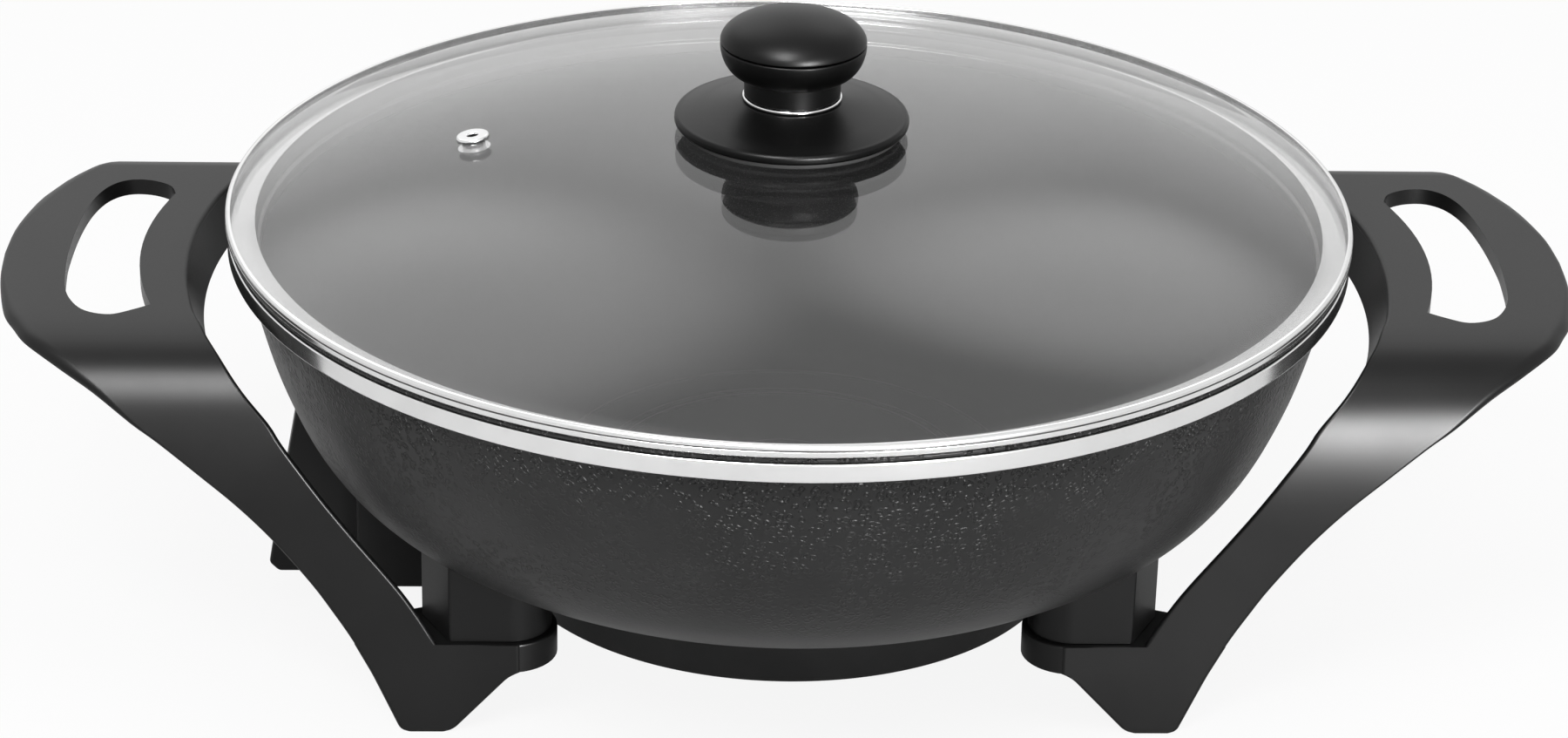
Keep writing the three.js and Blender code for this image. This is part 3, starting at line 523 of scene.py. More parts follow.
class Shader:
    """A node tree in the making."""

    def __init__(self, owner: bpy.types.Material | bpy.types.World | bpy.types.Light | str) -> None:
        """Empties the tree of a material, world or lamp, or of a new material with a name.

        Args:
            owner: what is shaded, or a new material's name.
        """
        self.owner = bpy.data.materials.new(owner) if isinstance(owner, str) else owner
        self.owner.use_nodes = True
        self.tree = self.owner.node_tree
        self.tree.nodes.clear()

    def add(
        self, kind: str, sockets: Mapping[str | int, object] | None = None, out: str | int = 0, **settings: object
    ) -> Value:
        """Adds a node.

        Args:
            kind: its type, without the ShaderNode in front.
            sockets: values or links by input name or number.
            out: which output is wanted.
            settings: its own properties, set before the sockets.

        Returns:
            That output; a node with no output gives its first input.
        """
        node = self.tree.nodes.new(f"ShaderNode{kind}")
        for key, value in settings.items():
            setattr(node, key, value)
        for key, value in (sockets or {}).items():
            if isinstance(value, Value):
                self.tree.links.new(value.socket, node.inputs[key])
            else:
                node.inputs[key].default_value = value
        return Value(self, node.outputs[out] if node.outputs else node.inputs[0])

    def place(self, scale: Place = (1, 1, 1)) -> Value:
        """Object coordinates, stretched."""
        return self.add("Mapping", {"Vector": self.add("TexCoord", out="Object"), "Scale": scale})

    def vector(self, operation: str, sockets: Mapping[str | int, object], out: str = "Vector") -> Value:
        """A Vector Math node."""
        return self.add("VectorMath", sockets, out, operation=operation)

    def noise(
        self, scale: float, detail: float = 2.0, place: Value | None = None, roughness: float = 0.5, out: int = 0
    ) -> Value:
        """Noise with features of about 1 / scale metres.

        Args:
            scale: how fine it is.
            detail: how many finer layers it has.
            place: where it is read, or None for Object coordinates.
            roughness: how strong the finer layers are.
            out: which output is wanted, 1 for the colour.

        Returns:
            That output.
        """
        where = place or self.place()
        sockets = {"Vector": where, "Scale": scale, "Detail": detail, "Roughness": roughness}
        return self.add("TexNoise", sockets, out)

    def height(self) -> Value:
        """Height over the table in metres."""
        return self.add("SeparateXYZ", {0: self.place()}, 2)

    def ray(self, kind: str) -> Value:
        """1 where a light path is a camera, glossy or transmission ray."""
        return self.add("LightPath", out=f"Is {kind} Ray")

    def blend(self, share: Value, first: object, second: object) -> Value:
        """A colour between two."""
        return self.add("Mix", {0: share, 6: first, 7: second}, 2, data_type="RGBA")

    def bump(self, height: Value, depth: float, strength: float = 1.0, under: Value | None = None) -> Value:
        """A normal from a height of 0 to 1.

        Args:
            height: the relief.
            depth: its depth in metres.
            strength: how much of it shows.
            under: another bump that it lies on.

        Returns:
            The normal.
        """
        below = {"Normal": under} if under else {}
        return self.add("Bump", {"Height": height, "Distance": depth, "Strength": strength, **below})

    def surface(
        self, colour: Value, roughness: Value, normal: Value, specular: float = 0.5, metallic: float = 0.0
    ) -> bpy.types.Material:
        """Ends the material with a Principled shader.

        Args:
            colour: its colour.
            roughness: its roughness.
            normal: its relief.
            specular: how much it mirrors when seen straight on, 0.5 where it is usual.
            metallic: 1 for a metal.

        Returns:
            The material.
        """
        sockets = {"Base Color": colour, "Roughness": roughness, "Normal": normal}
        fixed = {"Specular IOR Level": specular, "Metallic": metallic}
        return self.end(self.add("BsdfPrincipled", {**sockets, **fixed}))

    def end(self, shader: Value) -> bpy.types.Material:
        """Ends the tree with a shader.

        Args:
            shader: what is shown.

        Returns:
            What was shaded.
        """
        ends = {bpy.types.World: "World", bpy.types.Light: "Light", bpy.types.Material: "Material"}
        kind = next(end for owner, end in ends.items() if isinstance(self.owner, owner))
        self.add(f"Output{kind}", {"Surface": shader})
        return self.owner


def grey(level: float, warm: float = 0.0) -> tuple[float, float, float, float]:
    """A near-grey colour with a little warmth."""
    return (level * (1 + warm), level, level * (1 - warm), 1.0)


@dataclass(frozen=True)
class NonStickOutside:
    """Dark non-stick paint with a fine leathery relief of small rings, smooth towards the bottom."""

    colour: float = 0.025
    roughness: float = 0.36
    specular: float = 0.13
    grain: float = 410.0
    depth: float = 0.0006
    bend: float = 0.0016
    inner_side: Pair = (0.22, 0.38)
    outer_side: Pair = (0.38, 0.56)
    low_zone: Pair = (0.055, 0.085)
    high_zone: Pair = (0.104, 0.128)
    low_share: float = 0.35

    def make(self) -> bpy.types.Material:
        """Makes the material.

        Returns:
            The finished material.
        """
        s = Shader("nonstick outside")
        shifted = s.vector("SCALE", {0: s.noise(330.0, 1.0, out=1), "Scale": self.bend})
        where = s.vector("ADD", {0: s.place(), 1: shifted})
        cell = s.add("TexVoronoi", {"Vector": where, "Scale": self.grain}, feature="F1")
        rings = cell.ramp(*self.inner_side) * (1 - cell.ramp(*self.outer_side))
        up = s.height()
        here = up.ramp(*self.low_zone) * self.low_share + up.ramp(*self.high_zone) * (1 - self.low_share)
        patches = s.noise(38.0).ramp(0.32, 0.6) * 0.8 + 0.2
        fine = s.noise(1500.0, 3.0)
        normal = s.bump(rings * here * patches, self.depth, 1.0, s.bump(fine, 0.00002, 0.5))
        colour = s.blend(s.noise(30.0, 4.0).ramp(0.25, 0.75), grey(self.colour * 0.88), grey(self.colour * 1.12))
        return s.surface(colour, fine * 0.08 + self.roughness, normal, self.specular)


@dataclass(frozen=True)
class NonStickInside:
    """Dark non-stick coat with a fine speckle."""

    colour: float = 0.008
    roughness: float = 0.45
    specular: float = 0.06
    dots: Pair = (0.55, 0.72)
    dot_gain: float = 6.0

    def make(self) -> bpy.types.Material:
        """Makes the material.

        Returns:
            The finished material.
        """
        s = Shader("nonstick inside")
        speckle = s.noise(2600.0, 1.0)
        tone = s.blend(s.noise(24.0, 3.0).ramp(0.3, 0.7), grey(self.colour * 0.9), grey(self.colour * 1.1))
        colour = s.blend(speckle.ramp(*self.dots), tone, grey(self.colour * self.dot_gain))
        return s.surface(colour, speckle * 0.14 + self.roughness, s.bump(speckle, 0.00001, 0.5), self.specular)


@dataclass(frozen=True)
class PolishedSteel:
    """Bright rolled steel with faint turned lines."""

    colour: float = 0.73
    roughness: float = 0.13
    lines: float = 9000.0

    def make(self) -> bpy.types.Material:
        """Makes the material.

        Returns:
            The finished material.
        """
        s = Shader("polished steel")
        away = s.vector("LENGTH", {0: s.vector("MULTIPLY", {0: s.place(), 1: (1, 1, 0)})}, "Value")
        turned_lines = s.noise(1.0, 2.0, s.add("CombineXYZ", {0: away * self.lines, 1: s.height() * self.lines}))
        smear = s.noise(55.0, 3.0).ramp(0.35, 0.75)
        colour = s.blend(smear, grey(self.colour), grey(self.colour * 0.92))
        roughness = turned_lines * 0.06 + smear * 0.05 + self.roughness
        return s.surface(colour, roughness, s.bump(turned_lines, 0.000006, 0.4), metallic=1.0)


@dataclass(frozen=True)
class MouldedPlastic:
    """Black moulded plastic with a fine grain."""

    name: str
    colour: float
    roughness: float
    specular: float
    grain: float
    depth: float

    def make(self) -> bpy.types.Material:
        """Makes the material.

        Returns:
            The finished material.
        """
        s = Shader(self.name)
        grain = s.noise(self.grain, 3.0, roughness=0.6)
        flow = s.noise(18.0, 3.0, s.place((1.0, 0.35, 1.0))).ramp(0.3, 0.7)
        colour = s.blend(flow, grey(self.colour * 0.9), grey(self.colour * 1.1))
        roughness = grain * 0.1 + flow * 0.04 + self.roughness - 0.05
        return s.surface(colour, roughness, s.bump(grain, self.depth, 0.6), self.specular)


@dataclass(frozen=True)
class ClearGlass:
    """Tempered glass that lets light through and mirrors at a slant."""

    straight: float = 0.045
    tint: float = 0.93
    roughness: float = 0.03

    def make(self) -> bpy.types.Material:
        """Makes the material.

        Returns:
            The finished material.
        """
        s = Shader("clear glass")
        wave = s.bump(s.noise(22.0), 0.00012, 0.5)
        clear = s.add("BsdfTransparent", {"Color": grey(self.tint)})
        mirror = s.add("BsdfGlossy", {"Color": grey(1.0), "Roughness": self.roughness, "Normal": wave})
        slant = s.add("LayerWeight", {"Blend": 0.5}, "Facing")
        share = slant**5.0 * (1 - self.straight) + self.straight
        return s.end(s.add("MixShader", {0: share, 1: clear, 2: mirror}))


@dataclass(frozen=True)
class PlainCoat:
    """A coat or raw metal with its own speckle: enamel, rubber, sheath, insulator or plated steel."""

    name: str
    colour: float
    second: float
    roughness: float
    metallic: float = 0.0
    warm: float = 0.0
    grain: float = 400.0
    depth: float = 0.00003
    specular: float = 0.5

    def make(self) -> bpy.types.Material:
        """Makes the material.

        Returns:
            The finished material.
        """
        s = Shader(self.name)
        grain = s.noise(self.grain, 3.0)
        stain = s.noise(60.0, 4.0).ramp(0.35, 0.7)
        colour = s.blend(stain, grey(self.colour, self.warm), grey(self.second, self.warm))
        bump = s.bump(grain, self.depth, 0.7)
        return s.surface(colour, grain * 0.15 + self.roughness, bump, self.specular, self.metallic)


class Finishes:
    """Every finish of the wok, made once."""

    def __init__(self) -> None:
        """Makes the materials."""
        metal = (1.0, 0.01, 900.0, 0.00001)
        kinds = {
            "outside": (Slot.NONSTICK, NonStickOutside()),
            "inside": (Slot.NONSTICK, NonStickInside()),
            "steel": (Slot.STEEL, PolishedSteel()),
            # painted shade: a darker steel colour for the rim's groove and the faces under its seat, where shade falls
            "dull": (Slot.STEEL, PlainCoat("dulled steel", 0.09, 0.12, 0.3, *metal)),
            "plastic": (Slot.PLASTIC, MouldedPlastic("satin plastic", 0.006, 0.33, 0.165, 1700.0, 0.00001)),
            "gloss": (Slot.GLOSS_PLASTIC, MouldedPlastic("gloss plastic", 0.002, 0.33, 0.14, 2900.0, 0.00004)),
            "glass": (Slot.GLASS, ClearGlass()),
            "rubber": (Slot.RUBBER, PlainCoat("rubber", 0.012, 0.016, 0.7)),
            "enamel": (Slot.ENAMEL, PlainCoat("black enamel", 0.011, 0.015, 0.33, grain=700.0, specular=0.14)),
            "sheath": (Slot.SHEATH, PlainCoat("heater sheath", 0.13, 0.19, 0.36, 0.9, 0.06)),
            "insulator": (Slot.INSULATOR, PlainCoat("insulator", 0.62, 0.55, 0.5, 0.0, 0.06)),
            "plated": (Slot.SCREW_STEEL, PlainCoat("plated steel", 0.56, 0.45, 0.24, *metal)),
        }
        self.made = {name: Finish(slot, look.make()) for name, (slot, look) in kinds.items()}

    def __getattr__(self, name: str) -> Finish:
        """A finish by its name."""
        return self.made[name]


# ---------------------------------------------------------------- bowl and lid rim


BOWL_BOTTOM, BOWL_WALL = 41.0, 3.0
LUG_DROP = 9.0


def bowl_line(gap: float = 0.0) -> list[Vector]:
    """Outside of the bowl from its flat bottom to the bead, as points of [out, up], or beside it by a gap.

    Args:
        gap: how far outside the bowl the line lies, or inside where it is negative.

    Returns:
        The points.
    """
    radius, height = 174.6, 89.9
    shares = (
        (0.5, 0), (0.689, 0.0445), (0.8156, 0.178), (0.8906, 0.345), (0.9433, 0.567), (0.9777, 0.79), (0.996, 0.968),
        (1, 1),
    )
    line = smooth_line([(r * radius, BOWL_BOTTOM + h * height) for r, h in shares], 8)
    return beside(line, gap) if gap else line


def bowl_room(gap: float = FIT_GAP) -> Form:
    """Everything that the bowl takes up, with a gap round it or a part of its wall left out."""
    line, top = bowl_line(gap), 140.0
    return turned([(0.0, line[0].y), *line, (line[-1].x, top), (0.0, top)], KNOB_STEPS, closed=False)


def under_bowl(x: float, y: float) -> float:
    """Height of the bowl's outside over a place.

    Args:
        x: the place across.
        y: the place in depth.

    Returns:
        The height.
    """
    line, out = bowl_line(), math.hypot(x, y)
    after = next((i for i, p in enumerate(line) if p.x > out), 0)
    return read_line(line, after, out) if after else line[0].y


def stud_places() -> list[Vector]:
    """Where the three studs under the bowl stand."""
    return arc((0, 0), (38.0, 38.0), 0.0, math.tau, 3)[:-1]


@dataclass(frozen=True)
class Bowl:
    """The bowl with its bead, studs and lugs."""

    bead_bottom: float = 130.9
    bead_lip_bottom: float = 136.2
    bead_top: float = 137.4
    seat_radius: float = 177.5
    bead_radius: float = 178.7
    floor_rings: tuple[float, ...] = (76.0, 61.5, 58.0, 22.0)
    ring_height: float = 0.5
    stud_radius: float = 5.0
    stud_low: float = 17.8
    stud_hole: float = 10.5
    lug_hole: float = 5.5
    lugs: tuple[Place, ...] = (
        (92.05, 78.95, 6.0), (92.05, -78.95, 6.0), (-92.05, 78.95, 6.0), (-92.05, -78.95, 6.0), (-112.0, 22.5, 4.6),
        (-112.0, -22.5, 4.6),
    )

    def pegs(self) -> Form:
        """Studs for the cover and lugs for the posts and the housing, each with a blind hole.

        Returns:
            All pegs as one form.
        """
        pegs, holes = Form(), Form()
        stud = (self.stud_radius, self.stud_low, BOWL_BOTTOM + BOWL_WALL, self.stud_hole)
        places = [(*at, *stud) for at in stud_places()]
        for x, y, radius in self.lugs:
            low = under_bowl(x, y) - LUG_DROP
            places.append((x, y, radius, low, low + 2 * LUG_DROP, self.lug_hole))
        for x, y, radius, low, high, deep in places:
            pegs.rod(x, y, radius, low, high)
            holes.rod(x, y, SCREW_HOLE, low - CUT_OVER, low + deep)
        return pegs.cut(holes, bowl_room(-BOWL_WALL / 2))

    def build(self) -> Form:
        """The whole casting, with fine raised rings on its inner floor.

        Returns:
            The form.
        """
        inside, top = bowl_line(-BOWL_WALL)[::-1], BOWL_BOTTOM + BOWL_WALL
        swell = ((1.0, 0.0), (0.6, 0.7), (0.0, 1.0), (-0.6, 0.7), (-1.0, 0.0))
        rings = [(ring + a, top + self.ring_height * b) for ring in self.floor_rings for a, b in swell]
        bead = [
            (self.seat_radius, self.bead_bottom),
            (self.seat_radius, self.bead_lip_bottom),
            (self.bead_radius, self.bead_lip_bottom),
            (self.bead_radius, self.bead_top, 0.55),
            (inside[0].x, self.bead_top, 1.2),
        ]
        line = [(0.0, BOWL_BOTTOM), *bowl_line(), *bead, *inside, *rings, (0.0, top)]
        return turned(line, closed=False).add(self.pegs())

    def dress(self, finishes: Finishes) -> None:
        """Shows the bowl, textured outside and speckled inside.

        Args:
            finishes: every finish of the wok.
        """

        def is_inside(face: BMFace) -> bool:
            """Whether a face looks into the bowl.

            Args:
                face: a face of the bowl.

            Returns:
                True inside.
            """
            middle = face.calc_center_median()
            out = Vector((middle.x, middle.y, 0.0))
            inwards = face.normal.dot(out.normalized()) < 0.01 < face.normal.z + 0.5
            return out.length < self.seat_radius and inwards and middle.z > BOWL_BOTTOM + BOWL_WALL - 0.2

        self.build().piece("bowl_body", Body.WOK, finishes.outside, "bowl", finishes.inside, is_inside)


@dataclass(frozen=True)
class RimBand:
    """The steel band round the bead, turned in under it."""

    outer: float = 179.5
    inner: float = 177.8
    under: float = 174.9
    low: float = 129.9
    high: float = 135.9
    lip: float = 0.7

    def dress(self, finishes: Finishes) -> None:
        """Shows the band.

        Args:
            finishes: every finish of the wok.
        """
        shelf = self.low + self.lip
        line = [(self.under, self.low, 0.2), (self.outer, self.low, 0.65), (self.outer, self.high, 0.5)]
        line += [(self.inner, self.high, 0.2), (self.inner, shelf), (self.under, shelf, 0.2)]
        turned(line).piece("steel_band", Body.WOK, finishes.steel, "rim_band")


@dataclass(frozen=True)
class Lid:
    """The rolled steel rim, the glass dome and the vent eyelet."""

    radius: float = 180.0
    seat: float = 137.7
    top: float = 142.1
    sheet: float = 0.6
    lip: float = 1.7
    tuck: float = 0.85
    groove: float = 0.32
    groove_deep: float = 0.45
    groove_height: float = 140.25
    skirt_outer: float = 171.0
    hem_high: float = 131.2
    hem_low: float = 126.6
    hem_inner: float = 169.0
    hem_wall: float = 1.2
    channel: float = 179.3
    glass: float = 2.8
    glass_radius: float = 179.1
    glass_edge: float = 141.3
    dome_radius: float = 176.2
    dome_rise: float = 24.8
    dome_power: float = 2.6
    dome_steps: int = 40
    knob_hole: float = 3.4
    vent_place: Pair = (-101.5, 4.0)
    flange: float = 5.3
    barrel: float = 3.7
    bore: float = 1.7
    flange_sheet: float = 0.8

    def rim(self) -> Form:
        """The rim's section, turned.

        Returns:
            The form.
        """
        radius, top, groove, deep = self.radius, self.top, self.groove_height, self.groove
        skirt, inside, under = self.skirt_outer - self.sheet, self.seat + self.sheet, top - self.sheet
        hem, hem_outer, bend = self.hem_inner, self.hem_inner + self.hem_wall, self.hem_high - 0.5
        return turned([
            (self.skirt_outer, self.seat, 0.5), (radius - self.tuck, self.seat, 0.2),
            (radius, self.seat + self.tuck, 0.3), (radius, groove - deep, 0.1),
            (radius - self.groove_deep, groove, 0.08), (radius, groove + deep, 0.1), (radius, top, 1.2),
            (radius - self.lip, top, 0.2), (radius - self.lip, under, 0.15), (self.channel, under, 0.3),
            (self.channel, inside, 0.3), (skirt, inside, 0.4), (skirt, self.hem_high, 0.3), (hem, bend, 0.4),
            (hem, self.hem_low, 0.6), (hem_outer, self.hem_low, 0.6), (hem_outer, bend, 0.3),
            (self.skirt_outer, self.hem_high + 0.4, 0.3),
        ])

    def dome(self, out: float) -> float:
        """Height of the glass top at a distance from the axis."""
        return self.glass_edge + self.dome_rise * (1 - min(out / self.dome_radius, 1.0) ** self.dome_power)

    def pane(self) -> Form:
        """The glass with its two holes.

        Returns:
            The form.
        """
        run = (self.dome_radius - self.knob_hole) / self.dome_steps
        outs = [self.knob_hole + run * i for i in range(self.dome_steps + 1)]
        top = [(r, self.dome(r)) for r in outs]
        edge = [(self.glass_radius, self.glass_edge, 0.4), (self.glass_radius, self.glass_edge - self.glass, 0.4)]
        form = turned([*top, *edge, *((r, z - self.glass) for r, z in reversed(top))])
        drill = Form().rod(0, 0, self.barrel + FIT_GAP, -self.dome_rise, self.dome_rise)
        return form.cut(drill.move(self.vent_seat()))

    def vent_seat(self) -> Matrix:
        """Where the vent's own axis stands, square to the dome.

        Returns:
            The matrix that brings the vent there.
        """
        x, y = self.vent_place
        out = math.hypot(x, y)
        slope = (self.dome(out + FIT_GAP) - self.dome(out - FIT_GAP)) / (2 * FIT_GAP)
        up = Vector((-slope * x / out, -slope * y / out, 1.0)).normalized()
        turn = Vector((0, 0, 1)).rotation_difference(up).to_matrix().to_4x4()
        return Matrix.Translation((x, y, self.dome(out))) @ turn

    def eyelet(self) -> Form:
        """The rolled eyelet, a flange over the glass and one under it.

        Returns:
            The form.
        """
        over, under, inner = FIT_GAP + self.flange_sheet, -self.glass - FIT_GAP, self.bore + self.flange_sheet
        low = under - self.flange_sheet
        line = [
            (self.bore, over, 0.6), (self.flange, over, 0.7), (self.flange, FIT_GAP), (self.barrel, FIT_GAP),
            (self.barrel, under), (self.flange, under), (self.flange, low, 0.3), (inner, low, 0.3), (inner, 0.0),
            (self.bore, 0.0),
        ]
        return turned(line, SMALL_STEPS).move(self.vent_seat())

    def dress(self, finishes: Finishes) -> None:
        """Shows rim, glass and eyelet.

        Args:
            finishes: every finish of the wok.
        """

        def in_painted_shade(face: BMFace) -> bool:
            """Whether a face lies below the seat or in the groove, where a darker steel colour paints the shade.

            Args:
                face: a face of the rim.

            Returns:
                True where the steel gets that painted shade.
            """
            middle = face.calc_center_median()
            sunk = self.radius - middle.xy.length > 0.12 and abs(middle.z - self.groove_height) < self.groove
            return middle.z < self.seat or (sunk and middle.xy.length > self.channel)

        # the groove and the faces under the seat get the darker steel as painted shade
        self.rim().piece("lid_steel_rim", Body.LID, finishes.steel, "lid_rim", finishes.dull, in_painted_shade)
        self.pane().piece("lid_dome", Body.LID, finishes.glass, "lid_glass")
        self.eyelet().piece("steam_vent", Body.LID, finishes.steel, "vent_eyelet")


# ---------------------------------------------------------------- knob and screws


@dataclass(frozen=True)
class Screw:
    """A pan-head screw that points up, with a cross recess."""

    x: float
    y: float
    head: float
    tip: float
    radius: float = 2.2
    head_radius: float = 4.4
    head_height: float = 2.8
    drive_half: Pair = (2.5, 0.55)
    drive_depth: float = 1.4

    def dress(self, name: str, body: Body, finishes: Finishes, node: str) -> None:
        """Shows the screw in its place.

        Args:
            name: the piece's name.
            body: the body that it rides on.
            finishes: every finish of the wok.
            node: the CAD node that it stands for.
        """
        low = self.head - self.head_height
        line = [
            (0.0, low), (self.head_radius * 0.72, low, 0.6),
            (self.head_radius, low + self.head_height * 0.55, 0.7), (self.head_radius, self.head, 0.15),
            (self.radius, self.head), (self.radius, self.tip - self.radius), (self.radius / 2, self.tip),
            (0.0, self.tip),
        ]
        form = turned(line, SMALL_STEPS, closed=False)
        for x, y in (self.drive_half, self.drive_half[::-1]):
            form.cut(Form().block((-x, -y, low - CUT_OVER), (x, y, low + self.drive_depth)))
        form.move(Matrix.Translation((self.x, self.y, 0))).piece(name, body, finishes.plated, node)


@dataclass(frozen=True)
class Knob:
    """The two-part knob on its disc, with the fixings under the glass."""

    glass_top: float = 166.1
    glass: float = 2.8
    gasket_radius: float = 35.5
    gasket: float = 1.6
    bore: float = 6.0
    disc_radius: float = 37.4
    disc_low: float = 168.3
    disc_edge: float = 3.0
    disc_height: float = 8.0
    disc_neck: float = 16.4
    ring_radius: float = 15.9
    ring_low: float = 176.6
    ring_height: float = 2.6
    ring_bead: float = 1.1
    neck_radius: float = 15.4
    neck_low: float = 179.5
    neck_step: float = 1.0
    neck_over: float = 1.5
    neck_height: float = 5.0
    cap_radius: float = 23.3
    seam: float = 195.1
    seam_gap: float = 0.5
    cap_rise: float = 9.6
    spigot_radius: float = 14.0
    spigot_height: float = 3.0
    hole: float = 3.4
    seal_radius: float = 10.0
    washer_radius: float = 8.5

    def disc(self) -> Form:
        """The wide disc, thin at its edge and rising to the neck.

        Returns:
            The form.
        """
        low, edge, top = self.disc_low, self.disc_low + self.disc_edge, self.disc_low + self.disc_height
        middle, rise = (self.disc_radius + self.disc_neck) / 2, top - edge
        slope = smooth_line(
            [
                (self.disc_radius - 1.6, edge + 0.15), (middle + 4.0, edge + rise * 0.28), (middle, edge + rise * 0.45),
                (self.disc_neck + 4.0, edge + rise * 0.76), (self.disc_neck, top),
            ],
            5,
        )
        rim = [(self.bore, low), (self.disc_radius, low, 0.9), (self.disc_radius, edge, 1.1)]
        return turned([*rim, *slope, (self.bore, top)], KNOB_STEPS)

    def grip(self) -> Form:
        """Neck, flare and the spigot under the cap.

        Returns:
            The form.
        """
        low, step = self.neck_low + self.neck_height, self.neck_radius - self.neck_step
        wide, under = self.cap_radius - self.neck_radius, self.neck_low - self.neck_over
        high = self.seam + self.spigot_height
        flare = arc((self.neck_radius, self.seam), (wide, self.seam - low), -math.pi / 2, 0.0, 12)
        line = [
            (SCREW_HOLE, self.neck_low, 0.3), (step, self.neck_low), (step, under, 0.2), (self.neck_radius, under, 0.4),
            *flare[:-1], (self.cap_radius, self.seam, 0.5), (self.spigot_radius, self.seam), (self.spigot_radius, high),
            (0.0, high), (0.0, self.seam), (SCREW_HOLE, self.seam - CUT_OVER),
        ]
        return turned(line, KNOB_STEPS)

    def cap(self) -> Form:
        """The cap over the spigot, an elliptical dome.

        Returns:
            The form.
        """
        low, pocket = self.seam + self.seam_gap, self.spigot_radius + FIT_GAP
        pocket_top = self.seam + self.spigot_height + FIT_GAP
        dome = arc((0.0, low), (self.cap_radius, self.cap_rise), 0.0, math.pi / 2, 20)[1:-1]
        line = [(0.0, pocket_top), (pocket, pocket_top), (pocket, low), (self.cap_radius, low, 0.35), *dome]
        return turned([*line, (0.0, low + self.cap_rise)], KNOB_STEPS, closed=False)

    def collar(self) -> Form:
        """The bright bead round the neck's foot, with a sleeve inside the neck.

        Returns:
            The form.
        """
        low, bead, top = self.ring_low, self.ring_low + self.ring_bead, self.ring_low + self.ring_height
        sleeve = self.neck_radius - self.neck_step - FIT_GAP
        line = [(self.bore, low), (self.ring_radius, low, 0.4), (self.ring_radius, bead, 0.4)]
        return turned([*line, (sleeve, bead), (sleeve, top), (self.bore, top)], KNOB_STEPS)

    def washer(self, inner: float, outer: float, low: float, high: float, soft: float) -> Form:
        """A flat ring with softened edges."""
        return turned([(inner, low), (outer, low, soft), (outer, high, soft), (inner, high)], KNOB_STEPS)

    def dress(self, finishes: Finishes) -> None:
        """Shows every piece of the knob.

        Args:
            finishes: every finish of the wok.
        """
        over, under = self.glass_top + FIT_GAP, self.glass_top - self.glass - FIT_GAP
        gasket = self.washer(self.bore, self.gasket_radius, over, over + self.gasket, 0.5)
        seal = self.washer(self.hole, self.seal_radius, under - 1.5, under, 0.3)
        washer = self.washer(self.hole, self.washer_radius, under - 3.0, under - 1.8, 0.2)
        for name, form, finish, node in (
            ("disc_gasket", gasket, finishes.rubber, "knob_gasket"),
            ("knob_disc", self.disc(), finishes.gloss, "knob_base"),
            ("knob_collar", self.collar(), finishes.steel, "knob_ring"),
            ("knob_neck", self.grip(), finishes.gloss, "knob_grip"),
            ("knob_top", self.cap(), finishes.gloss, "knob_cap"),
            ("inside_gasket", seal, finishes.rubber, "inner_gasket"),
            ("inside_washer", washer, finishes.plated, "knob_washer"),
        ):
            form.piece(name, Body.LID, finish, node)
        bolt = Screw(0, 0, under - 3.3, self.seam - CUT_OVER - FIT_GAP)
        bolt.dress("knob_bolt", Body.LID, finishes, "knob_screw")


# ---------------------------------------------------------------- under the bowl


@dataclass(frozen=True)
class BaseCover:
    """The dished cover under the bowl, with vents and a notch for the inlet."""

    low: float = 16.0
    high: float = 40.7
    top_radius: float = 98.0
    bottom_radius: float = 92.7
    wall: float = 1.5
    soft: float = 0.8
    vents: int = 8
    vent_ring: float = 72.0
    vent_length: float = 22.0
    vent_width: float = 4.0
    notch_half: float = 15.5
    notch_low: float = 31.7
    screw_length: float = 11.0

    def build(self) -> Form:
        """The cover.

        Returns:
            The form.
        """
        floor, rim = self.low + self.wall, self.top_radius - self.wall
        below, above = self.low - CUT_OVER, floor + CUT_OVER
        line = [
            (0.0, self.low), (self.bottom_radius, self.low, self.soft), (self.top_radius, self.high, 0.4),
            (rim, self.high, 0.4), (self.bottom_radius - self.wall, floor, self.soft), (0.0, floor),
        ]
        form = turned(line, closed=False)
        end, half = self.vent_width / 2, (self.vent_length - self.vent_width) / 2
        ends = [
            arc((self.vent_ring + side * half, 0), (side * end, side * end), -math.pi / 2, math.pi / 2, 8)
            for side in (1, -1)
        ]
        slot = Form().prism([*ends[0], *ends[1]], below, above)
        for i in range(self.vents):
            form.cut(slot.copy().move(Matrix.Rotation(math.tau * (i + 0.5) / self.vents, 4, "Z")))
        slot.bm.free()
        notch = (-self.top_radius - CUT_OVER, -self.notch_half, self.notch_low)
        cuts = Form().block(notch, (-self.top_radius / 2, self.notch_half, self.high + CUT_OVER))
        for x, y in stud_places():
            cuts.rod(x, y, SCREW_HOLE, below, above)
        return form.cut(cuts)

    def dress(self, finishes: Finishes) -> None:
        """Shows the cover and its screws.

        Args:
            finishes: every finish of the wok.
        """
        self.build().piece("cover_shell", Body.WOK, finishes.enamel, "base_cover")
        head = self.low - FIT_GAP
        for i, (x, y) in enumerate(stud_places(), 1):
            screw = Screw(x, y, head, head + self.screw_length)
            screw.dress(f"cover_fixing_{i}", Body.WOK, finishes, f"cover_screw_{i}")


